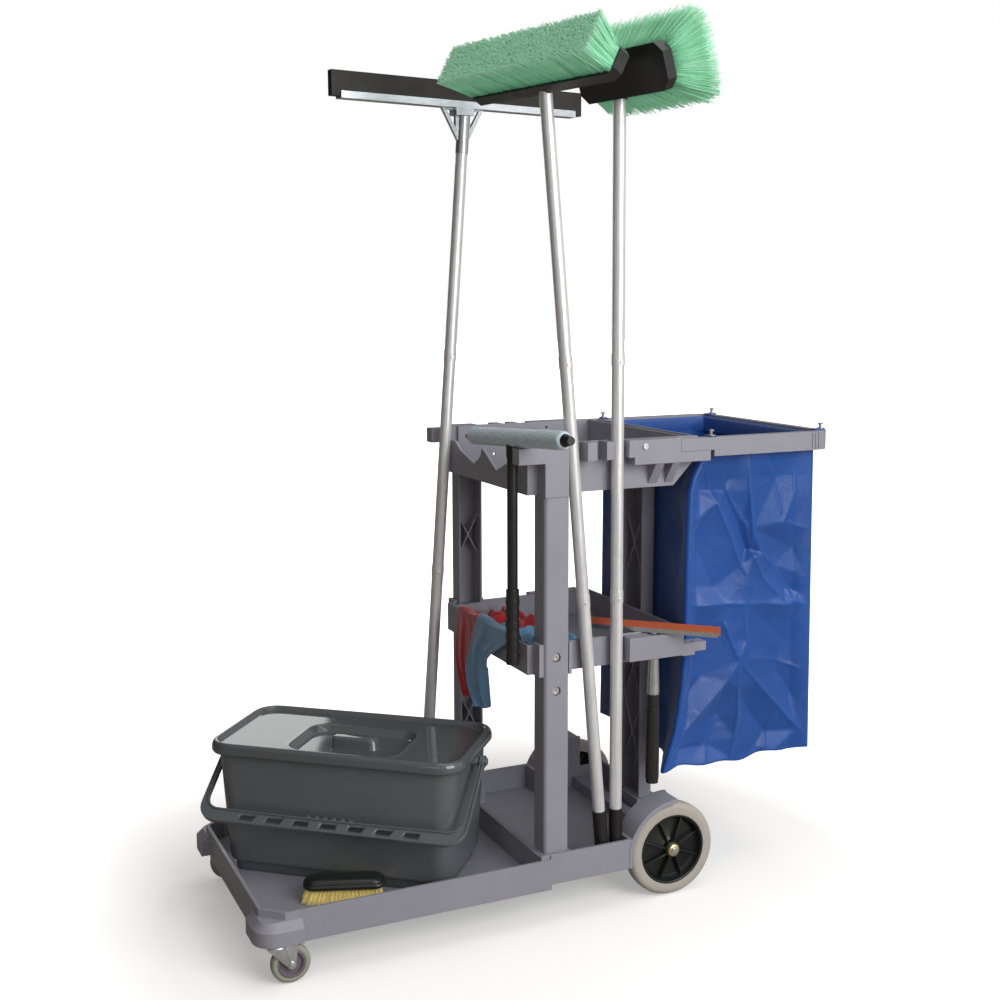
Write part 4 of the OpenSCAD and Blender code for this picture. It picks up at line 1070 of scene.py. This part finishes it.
# ------------------------------------------------------------------ waste bag
BAG_TOP, BAG_BOTTOM = 957, 262
BAG_FRONT, BAG_REAR, BAG_HALF_WIDTH = 322, 603, 212.0    # at the mouth

# creases of the left wall: x, z and depth of every crest and hollow
LEFT_FOLDS = [
    (307, 932, 6), (357, 933, 4), (421, 930, 7), (487, 926, 3), (534, 924, 8), (578, 922, 4),
    (293, 883, 0), (291, 775, 0), (288, 619, 1), (281, 460, 2), (270, 341, 3), (240, 264, 2),
    (309, 851, 9), (309, 758, 11), (314, 648, 10), (307, 550, 9), (296, 410, 12),
    (271, 300, 9), (335, 915, 3), (361, 824, 0), (398, 751, 1), (428, 685, 4), (453, 651, 2),
    (387, 846, 10), (426, 765, 13), (448, 715, 14), (436, 909, 2), (444, 842, 1),
    (454, 762, 2), (458, 706, 0), (481, 656, 2), (526, 615, 3), (566, 597, 1), (590, 650, 2),
    (575, 615, 8), (480, 708, 3), (514, 677, 9), (550, 625, 10), (508, 854, 7), (530, 773, 1),
    (557, 835, 2), (502, 743, 9), (561, 714, 8), (301, 609, 4), (347, 608, 2), (393, 607, 3),
    (431, 604, 0), (450, 601, 1), (498, 598, 2), (537, 592, 0), (591, 587, 3), (364, 643, 10),
    (357, 564, 10), (499, 557, 9), (549, 510, 10), (567, 558, 6), (443, 668, 1),
    (439, 571, 2), (447, 521, 3), (452, 480, 1), (427, 479, 0), (398, 438, 2), (352, 395, 1),
    (306, 352, 2), (271, 312, 1), (429, 417, 3), (428, 360, 1), (420, 311, 2), (412, 266, 3),
    (474, 428, 2), (535, 362, 1), (587, 308, 2), (620, 275, 1), (405, 526, 3), (389, 568, 4),
    (341, 453, 12), (381, 366, 13), (354, 304, 11), (457, 372, 11), (507, 307, 13),
    (479, 276, 9), (532, 446, 11), (574, 382, 9), (501, 499, 8), (602, 437, 3), (589, 506, 5),
    (583, 833, 2), (587, 752, 5), (597, 546, 2), (605, 420, 3), (614, 334, 2), (299, 266, 4),
    (346, 262, 2), (529, 266, 3), (578, 270, 6)]
# border around the wall, same columns
LEFT_FOLDS += [(x, 968, 3) for x in (220, 300, 380, 460, 540, 640)]
LEFT_FOLDS += [
    (220, 800, 1), (220, 600, 1), (220, 420, 2), (205, 300, 2), (200, 230, 3), (300, 230, 4),
    (400, 230, 4), (500, 230, 4), (640, 230, 3), (640, 420, 3), (640, 600, 3), (640, 800, 3)]

# raised crease lines on the left wall, each a run of (x, z)
CREASES = [
    [(322, 925), (361, 824), (398, 751), (428, 685), (453, 651)],
    [(361, 915), (400, 830), (440, 770), (458, 706), (481, 656), (526, 615), (566, 597),
     (592, 600)],
    [(436, 925), (444, 842), (454, 762), (458, 706)],
    [(592, 655), (575, 615), (566, 597)],
    [(480, 708), (514, 677), (550, 625), (560, 600)],
    [(292, 612), (347, 608), (393, 607), (450, 601), (498, 598), (537, 592), (600, 588)],
    [(447, 690), (440, 640), (439, 571), (447, 521), (427, 479)],
    [(427, 479), (398, 438), (352, 395), (306, 352), (271, 308)],
    [(427, 479), (429, 417), (428, 360), (420, 311), (412, 262)],
    [(427, 479), (474, 428), (535, 362), (587, 308), (620, 275)],
    [(389, 568), (405, 526), (427, 479)],
    [(452, 480), (520, 470), (602, 437)],
    [(557, 900), (557, 835), (530, 773), (502, 743)],
    [(530, 773), (570, 760), (598, 752)],
    [(470, 925), (500, 880), (508, 854), (530, 773)],
    [(346, 262), (352, 300), (381, 366)],
    [(500, 262), (507, 307), (535, 362)]]

# front left corner as (z, x)
FRONT_CORNER = [
    (957, 322), (930, 320), (905, 312), (880, 299), (850, 291), (775, 288), (700, 287),
    (619, 286.5), (560, 286), (500, 285), (440, 280), (390, 273), (341, 264), (300, 250),
    (262, 236)]


def crumple(low, high, seed, width_step, height_step, amplitude):
    """Random crests and hollows over a wall, as (place across, z, depth)."""
    r = np.random.RandomState(seed)
    columns = max(3, int((high - low) / width_step))
    rows = int(760 / height_step)
    points = []
    for i in range(columns + 1):
        for j in range(rows + 1):
            w = low + (high - low) * i / columns + r.uniform(-0.32, 0.32) * width_step
            z = 225 + 760 * j / rows + r.uniform(-0.35, 0.35) * height_step
            depth = amplitude * (r.rand() ** 0.7) * (1 if (i + j) % 2 else 0.12)
            points.append((w, z, depth))
    return points


def facets(points):
    """Piecewise-flat depth over scattered points, as a function of arrays."""
    result = delaunay_2d_cdt([Vector((p[0], p[1])) for p in points], [], [], 0, 0.01)
    corners = np.array([(p.x, p.y) for p in result[0]])
    depths = np.array([points[o[0]][2] if o else 0 for o in result[3]], float)
    triangles = np.array([face for face in result[2] if len(face) == 3])

    def depth_at(x, z):
        out = np.zeros(len(x))
        done = np.zeros(len(x), bool)
        for triangle in triangles:
            (ax, az), (bx, bz), (cx, cz) = corners[triangle]
            det = (bz - cz) * (ax - cx) + (cx - bx) * (az - cz)
            # barycentric weights
            wa = ((bz - cz) * (x - cx) + (cx - bx) * (z - cz)) / det
            wb = ((cz - az) * (x - cx) + (ax - cx) * (z - cz)) / det
            wc = 1 - wa - wb
            m = (wa > -1e-6) & (wb > -1e-6) & (wc > -1e-6) & ~done
            da, db, dc = depths[triangle]
            out[m] = wa[m] * da + wb[m] * db + wc[m] * dc
            done |= m
        return out
    return depth_at


def crease_height(x, z):
    """Height of the crease lines: a sharp ridge on a soft swell, fading at the ends."""
    out = np.zeros(len(x))
    for line in CREASES:
        total = len(line) - 1
        for i in range(total):
            ax, az = line[i]
            dx, dz = line[i + 1][0] - ax, line[i + 1][1] - az
            t = np.clip(((x - ax) * dx + (z - az) * dz) / (dx * dx + dz * dz), 0, 1)
            distance = np.hypot(x - ax - dx * t, z - az - dz * t)
            along = (i + t) / total
            fade = np.clip(np.minimum(along * 7 + 0.2, (1 - along) * 7 + 0.2), 0, 1)
            ridge = 2.4 * np.clip(1 - distance / 5.0, 0, 1)
            swell = 1.2 * np.exp(-(distance / 14.0) ** 2)
            out = np.maximum(out, fade * (ridge + swell))
    return out


# walls in order round the bag
LEFT, REAR, RIGHT, FRONT = range(4)
WALL_DEPTH = [
    facets([(x, z, 1.75 * depth if z < 950 else depth) for x, z, depth in LEFT_FOLDS]),
    facets(crumple(-225, 225, seed=21, width_step=74, height_step=84, amplitude=17)),
    facets(crumple(290, 640, seed=22, width_step=70, height_step=86, amplitude=15)),
    facets(crumple(-225, 225, seed=23, width_step=70, height_step=80, amplitude=13))]


def bag_wall(wall, a, b, radius, columns, z, t):
    """Points of one wall at height z between corners a and b; t is 0 at the mouth."""
    d = (b - a) / np.linalg.norm(b - a)
    start, end = a + d * radius, b - d * radius
    outward = np.array([d[1], -d[0]])
    s = np.linspace(0, 1, columns + 1)
    points = start[None] + (end - start)[None] * s[:, None]
    if wall == FRONT:
        # stays behind the rear upright and swings out only towards its two corners
        y = points[:, 1]
        base = 320.5 - 2.0 * t
        left_swing = np.clip((-52 - y) / 150, 0, 1) ** 1.3
        right_swing = np.clip((y - 60) / 140, 0, 1)
        points[:, 0] = (base + (end[0] - base) * left_swing
                        + (start[0] - base) * right_swing)
    across = points[:, 0] if wall in (LEFT, RIGHT) else points[:, 1]
    heights = np.full(columns + 1, z)
    depth = WALL_DEPTH[wall](across, heights)
    edge = np.clip(np.minimum(s, 1 - s) * 9, 0, 1)    # no folds at the corners
    if wall == LEFT:
        depth = np.maximum(0, 2.6 + depth - crease_height(across, heights)) * 0.95
        edge = np.clip((1 - s) * 9, 0, 1) * np.clip(s * 14, 0.0, 1)
    elif wall == REAR:
        depth = depth - 7.5
    elif wall == FRONT:
        depth = depth * np.clip((np.abs(points[:, 1]) - 46) / 60, 0.25, 1)
    below_mouth = min(1.0, t * 8) ** 1.5              # folds start below the mouth
    return points + outward[None] * (-depth * below_mouth * edge)[:, None]


def bag_row(z, t, columns, corner_steps):
    """One level of the bag: four walls with rounded corners between them."""
    corner_x = float(np.interp(-z, [-c[0] for c in FRONT_CORNER],
                               [c[1] for c in FRONT_CORNER]))
    rear = BAG_REAR + 13 * t
    left, right = -BAG_HALF_WIDTH + 1.5 * t, BAG_HALF_WIDTH - 3.0 * t
    radius = 9 + 2 * min(1, t * 4)
    corners = [np.array(p) for p in ((corner_x, left), (rear, left), (rear, right),
                                     (BAG_FRONT - 4 * t, right))]
    walls = [bag_wall(k, corners[k], corners[(k + 1) % 4], radius, columns[k], z, t)
             for k in range(4)]
    row = []
    for k in range(4):
        row += list(walls[k])
        begin, middle, end = walls[k][-1], corners[(k + 1) % 4], walls[(k + 1) % 4][0]
        for i in range(1, corner_steps):
            s = i / corner_steps
            row.append((1 - s) ** 2 * begin + 2 * s * (1 - s) * middle + s * s * end)
    return [(p[0], p[1], z) for p in row]


def build_bag_shell():
    levels = detail(190, 120)
    columns = [int(n * detail(1.0, 0.62)) for n in (104, 96, 60, 96)]
    rows = np.array([bag_row(z, i / levels, columns, corner_steps=5)
                     for i, z in enumerate(np.linspace(BAG_TOP, BAG_BOTTOM, levels + 1))])
    # slight waves along the lower edge
    x, y = rows[levels, :, 0], rows[levels, :, 1]
    wave = (3.5 * np.sin(x / 38.0) + 2.5 * np.sin(y / 45.0)
            + 3.0 * np.sin(x / 17.0 + y / 23.0) - 3)
    for i in range(levels + 1):
        rows[i, :, 2] += max(0, (i / levels - 0.82) / 0.18) ** 1.5 * wave
    # light relaxation keeps crests crisp but rounds single facets
    rows[1:-1] = 0.8 * rows[1:-1] + 0.1 * rows[2:] + 0.1 * rows[:-2]
    size = rows.shape[1]
    verts = [tuple(p) for row in rows for p in row]
    # sagging bottom, as rings that shrink to the centre
    bottom_rings = 10
    centre = rows[levels].mean(0)
    for r in range(1, bottom_rings + 1):
        scale = 1 - r / (bottom_rings + 1)
        sag = -6 * math.sin(min(1, r / 2.5) * math.pi / 2)
        for p in rows[levels]:
            q = centre + (p - centre) * scale
            lump = 5 * noise.noise(Vector((q[0] * 0.02, q[1] * 0.02, 2)))
            verts.append((q[0], q[1], p[2] * scale + centre[2] * (1 - scale) + sag + lump))
    faces = grid_faces(levels + 1 + bottom_rings, size)
    faces.append(tuple(range(len(verts) - size, len(verts))))
    shell = mesh_object("bag_shell", to_frame(verts), faces, MAT["bag"], 180)
    solidify(shell, thickness=1.4, offset=-1)
    bake(shell)
    return shell


def build_bag_hem():
    """Folded hem inside the mouth."""
    # section as (height, outset)
    section = [(957.2, 0.6), (961, 0.2), (962.6, -0.6), (961, -2.0), (957.0, -2.8),
               (930, -3.4), (925, -2.6), (925, -1.8), (950, -1.9)]
    rings = []
    for z, outset in section:
        outline = rounded_rectangle((BAG_REAR - BAG_FRONT) / 2 + outset, 212.5 + outset, 10,
                                    6, (BAG_REAR + BAG_FRONT) / 2)
        rings.append([(x, y, z + 1.5 * math.sin(x / 40.0 + y / 55.0) - 1.5)
                      for x, y in outline])
    return loft("hem", rings, MAT["bag"], closed=True, angle=180)


def build_bag_tabs():
    """Tabs that reach over the rail to the hooks, each with a round hole."""
    top, bottom, hole_radius = 967.4, 965.6, 6.2
    # x from, x to, y from, y to, hole x, hole y; y on the right side
    tabs = [(324, 341, 209.0, 236, 332, 226), (601, 628.5, 197.5, 216.5, 620, 207)]
    parts = []
    for side in (-1, 1):
        for x0, x1, y0, y1, hole_x, hole_y in tabs:
            outline = rounded_rectangle((x1 - x0) / 2, (y1 - y0) / 2, 5, 4, (x0 + x1) / 2,
                                        side * (y0 + y1) / 2)
            hole = []
            for x, y in outline:
                a = math.atan2(y - side * hole_y, x - hole_x)
                hole.append((hole_x + hole_radius * math.cos(a),
                             side * hole_y + hole_radius * math.sin(a)))
            rings = [[(x, y, z) for x, y in points] for points, z in
                     ((outline, top), (outline, bottom), (hole, bottom), (hole, top))]
            parts.append(loft("tab", rings, MAT["bag"], closed=True, angle=40))
    return parts


def build_bag():
    parts = [build_bag_shell(), build_bag_hem()] + build_bag_tabs()
    put(join("bag_cloth", parts), "bag", "bag_fabric", "waste_bag")


# ------------------------------------------------------------------ cloths
FLAP_ROWS, RIM_ROWS, HEAP_ROWS, CLOTH_COLUMNS = 54, 8, 46, 72
TRAY_FLOOR = 515.5           # lowest height of the heaps


def side_y(edge, t):
    """Height and y of a flap's side edge; t runs from 0 at the rim to 1 at the tail."""
    heights = [p[0] for p in edge]
    z = heights[0] + (heights[-1] - heights[0]) * t
    return z, float(np.interp(-z, [-h for h in heights], [p[1] for p in edge]))


def flap_column(s, side_a, side_b, outer_x, folds, fold_depth, phase, seed, tail, front):
    """Hanging part of a cloth, from the tail up to the rim; s runs across it."""
    column = []
    for j in range(FLAP_ROWS):
        t = 1 - j / (FLAP_ROWS - 1)
        z_a, y_a = side_y(side_a, t)
        z_b, y_b = side_y(side_b, t)
        z = z_a + (z_b - z_a) * s - tail * math.sin(math.pi * s) * t * t
        y = y_a + (y_b - y_a) * s
        # pleats that deepen down the flap and fade at its sides (6.283 is a full turn)
        fade = math.sin(math.pi * s) ** 0.35
        fold = fold_depth * (0.35 + 0.65 * t) * (
            0.55 * math.sin(folds * s * 6.283 + phase[0] + 1.4 * t)
            + 0.3 * math.sin(2.1 * folds * s * 6.283 + phase[1] - 2.2 * t) + 0.35)
        fold += 2.2 * noise.noise(Vector((y * 0.03, z * 0.03, seed)))
        curl = 7.0 * t * (math.exp(-(s / 0.07) ** 2) + math.exp(-((1 - s) / 0.06) ** 2))
        x = outer_x - max(0.0, fold * min(1, 4 * t + 0.05)) * fade - curl * 0.9 - 3.0 * t
        if front is not None:
            x = max(x, front(y, z))
        column.append((x, y, z))
    return column


def rim_column(last, outer_x, inner_x, top):
    """Cloth bent over the tray's front rim."""
    _, y, z_low = last
    column = []
    for j in range(1, RIM_ROWS + 1):
        a = math.pi * (1 - j / (RIM_ROWS + 1))
        x = (outer_x + inner_x) / 2 + (inner_x - outer_x) / 2 * math.cos(a)
        if j < 5:
            z = z_low + (top - z_low) * math.sin(a)
        else:
            z = top - (top - z_low) * 0.15 * (j - 4) / 4
        column.append((x, y, z))
    return column


def heap_column(s, last, end_x, y_from, y_to, low, high, seed):
    """Part behind the rim: it drops, then lies in crumpled folds."""
    noise_scale, ceiling = 0.022, 563    # the ceiling holds behind x = -60
    column = []
    target_y = y_from + (y_to - y_from) * s
    for j in range(1, HEAP_ROWS + 1):
        t = j / HEAP_ROWS
        x = last[0] + (end_x - last[0]) * t
        y = last[1] + (target_y - last[1]) * min(1, 1.6 * t) + 7 * math.sin(5 * t + 4 * s + seed)
        coarse = abs(noise.noise(Vector((x * noise_scale, y * noise_scale, seed))))
        fine = abs(noise.noise(Vector((x * noise_scale * 2.3 + 4, y * noise_scale * 2.3,
                                       seed + 3))))
        z = low + (high - low) * (1 - coarse * 1.9) - 12 * fine
        blend = min(1, t * 5)
        z = last[2] * (1 - blend) + z * blend
        # the heap thins out towards its free edges
        edge = min(1, (1 - t) * 6, s * 9 + 0.1, (1 - s) * 9 + 0.1)
        z = 516 + (z - 516) * (edge if t > 0.3 else 1)
        if x > -60:
            z = min(z, ceiling)
        column.append((x, max(-168, min(176, y)), max(TRAY_FLOOR, z)))
    return column


def build_cloth(colour, side_a, side_b, outer_x, inner_x, top, heap, seed, folds,
                fold_depth, tail, front=None):
    """Cloth over the tray's front rim.

    side_a and side_b are the flap's side edges as (z, y), top gives the height over the
    rim across the cloth, tail the sag of the lower edge, front the foremost x allowed.
    """
    phase = np.random.RandomState(seed).rand(4) * 6.28
    verts = []
    for i in range(CLOTH_COLUMNS + 1):
        s = i / CLOTH_COLUMNS
        column = flap_column(s, side_a, side_b, outer_x, folds, fold_depth, phase, seed,
                             tail, front)
        column += rim_column(column[-1], outer_x, inner_x, top(s))
        column += heap_column(s, column[-1], **heap)
        verts += column
    faces = grid_faces(CLOTH_COLUMNS + 1, len(column), close_columns=False)
    cloth = mesh_object(colour + "_cloth_sheet", to_frame(verts), faces, MAT[colour], 180)
    solidify(cloth, thickness=2.0, offset=0)
    subdivision = cloth.modifiers.new("d", "SUBSURF")
    subdivision.levels = 1
    subdivision.render_levels = 1
    bake(cloth)
    cloth.data.shade_smooth()
    put(cloth, colour + "_cloth_body", colour + "_fabric", colour + "_cloth")


def lid_path(y, z):
    """Front limit of the blue flap, so that the bucket's lid passes it when lifted."""
    radius, centre_x, centre_y, clearance = 50, -138.2, -56.6, 3.2
    distance = abs(y - centre_y)
    limit = centre_x + math.sqrt(max(0.0, radius ** 2 - distance * distance)) + clearance
    # the limit moves forward by 30 mm above the lid's path
    return limit - 30 * min(1.0, max(0.0, (z - 484) / 30.0))


def build_cloths():
    build_cloth(
        "red",
        side_a=[(573, 132), (540, 133), (505, 137), (469, 138), (430, 116), (392, 82)],
        side_b=[(573, 10), (540, 14), (505, 18), (469, 24), (430, 36), (400, 58)],
        outer_x=-77.0, inner_x=-63.0, top=lambda s: 577 + 3 * math.sin(s * 9),
        heap=dict(end_x=100, y_from=172, y_to=26, low=520, high=566, seed=5.3),
        seed=4, folds=1.6, fold_depth=9, tail=6)
    build_cloth(
        "blue",
        side_a=[(577, 14), (548, 26), (500, 44), (461, 57), (425, 40), (392, -2)],
        side_b=[(577, -150), (560, -138), (543, -108), (520, -66), (505, -48), (478, -46),
                (448, -50), (404, -56)],
        outer_x=-85.0, inner_x=-66.5, top=lambda s: 583 + 3 * math.sin(s * 7 + 1),
        heap=dict(end_x=97, y_from=12, y_to=-166, low=520, high=568, seed=11.7),
        seed=9, folds=1.3, fold_depth=13, tail=5, front=lid_path)


# ------------------------------------------------------------------ floor, light, camera
def build_floor():
    half, z = 30, -0.0005    # metres
    corners = [(-half, -half, z), (half, -half, z), (half, half, z), (-half, half, z)]
    mesh_object("floor", corners, [(0, 1, 2, 3)], floor_material(), angle=None)


def build_world():
    """White to the camera; as light, a soft glow from the rear left, above."""
    world = bpy.data.worlds.new("studio")
    g = Graph(world)
    g.tree.nodes.clear()
    direction = g.node("ShaderNodeTexCoord").outputs["Generated"]
    bright_side = Vector((0.62, -0.62, 0.48)).normalized()
    strength = g.remap(g.dot(direction, bright_side), span=(-0.25, 0.95), to=(0.05, 0.72))
    # warm where it is dim, white where it is bright
    colour = g.mix(strength, (1.0, 0.90, 0.80), (1, 1, 1))
    light = g.node("ShaderNodeBackground", {"Color": colour, "Strength": strength})
    backdrop = g.node("ShaderNodeBackground", {"Color": (1, 1, 1), "Strength": 1.0})
    seen = g.node("ShaderNodeLightPath").outputs["Is Camera Ray"]
    mixed = g.node("ShaderNodeMixShader",
                   {0: seen, 1: light.outputs[0], 2: backdrop.outputs[0]})
    g.node("ShaderNodeOutputWorld", {0: mixed.outputs[0]})
    bpy.context.scene.world = world


def area_light(name, location, target, size, power, size_y=None):
    """Rectangular light; places in cart mm, sizes in metres, power in watts."""
    light = bpy.data.lights.new(name, "AREA")
    light.energy = power
    light.color = (1, 1, 1)
    light.shape = "RECTANGLE"
    light.size = size
    light.size_y = size_y or size
    lamp = bpy.data.objects.new(name, light)
    lamp.location = Vector(to_frame(location))
    aim = Vector(to_frame(target)) - Vector(to_frame(location))
    lamp.rotation_euler = aim.to_track_quat("-Z", "Y").to_euler()
    bpy.context.scene.collection.objects.link(lamp)


def build_lights():
    area_light("key", (900, -3100, 1900), target=(0, 0, 700), size=2.2, power=74)
    area_light("top", (500, -300, 3600), target=(0, 0, 0), size=2.4, power=20)
    area_light("fill", (-2200, -2300, 1500), target=(0, 0, 600), size=1.2, power=3)
    area_light("card", (-150, 3300, 1650), target=(-150, 0, 900), size=1.5, size_y=1.3,
               power=11)
    for item in bpy.data.objects:
        if item.type == "LIGHT":
            item.visible_camera = False


def build_camera():
    heading = math.radians(24.63)    # turned from +Y towards +X
    pitch = math.radians(8.72)       # downward
    roll = math.radians(-0.18)
    lens = bpy.data.cameras.new("cam")
    lens.sensor_width = 36
    lens.lens = 48.14
    lens.clip_end = 200
    camera = bpy.data.objects.new("cam", lens)
    level = Vector((math.cos(heading), -math.sin(heading), 0))
    forward = Vector((math.sin(heading) * math.cos(pitch), math.cos(heading) * math.cos(pitch),
                      -math.sin(pitch)))
    upright = level.cross(forward)
    right = level * math.cos(roll) + upright * math.sin(roll)
    up = -level * math.sin(roll) + upright * math.cos(roll)
    matrix = Matrix((right, up, -forward)).transposed().to_4x4()
    matrix.translation = Vector(to_frame((-1185.5, -2504.7, 1250.8)))
    camera.matrix_world = matrix
    bpy.context.scene.collection.objects.link(camera)
    bpy.context.scene.camera = camera
    bpy.context.scene.view_settings.view_transform = "Standard"


# ------------------------------------------------------------------ build
build_bolt_seats()
for name, side in SIDES:
    build_rear_wheel(name, side)
build_wheel_caps()
for name, side in SIDES:
    build_caster(name, side)
build_bucket()
build_lid()
build_bail()
build_brush_heads()
build_hand_brush_block()
build_hand_brush_filaments()
build_washer_sleeve()
build_bag()
build_cloths()
build_floor()
build_world()
build_lights()
build_camera()
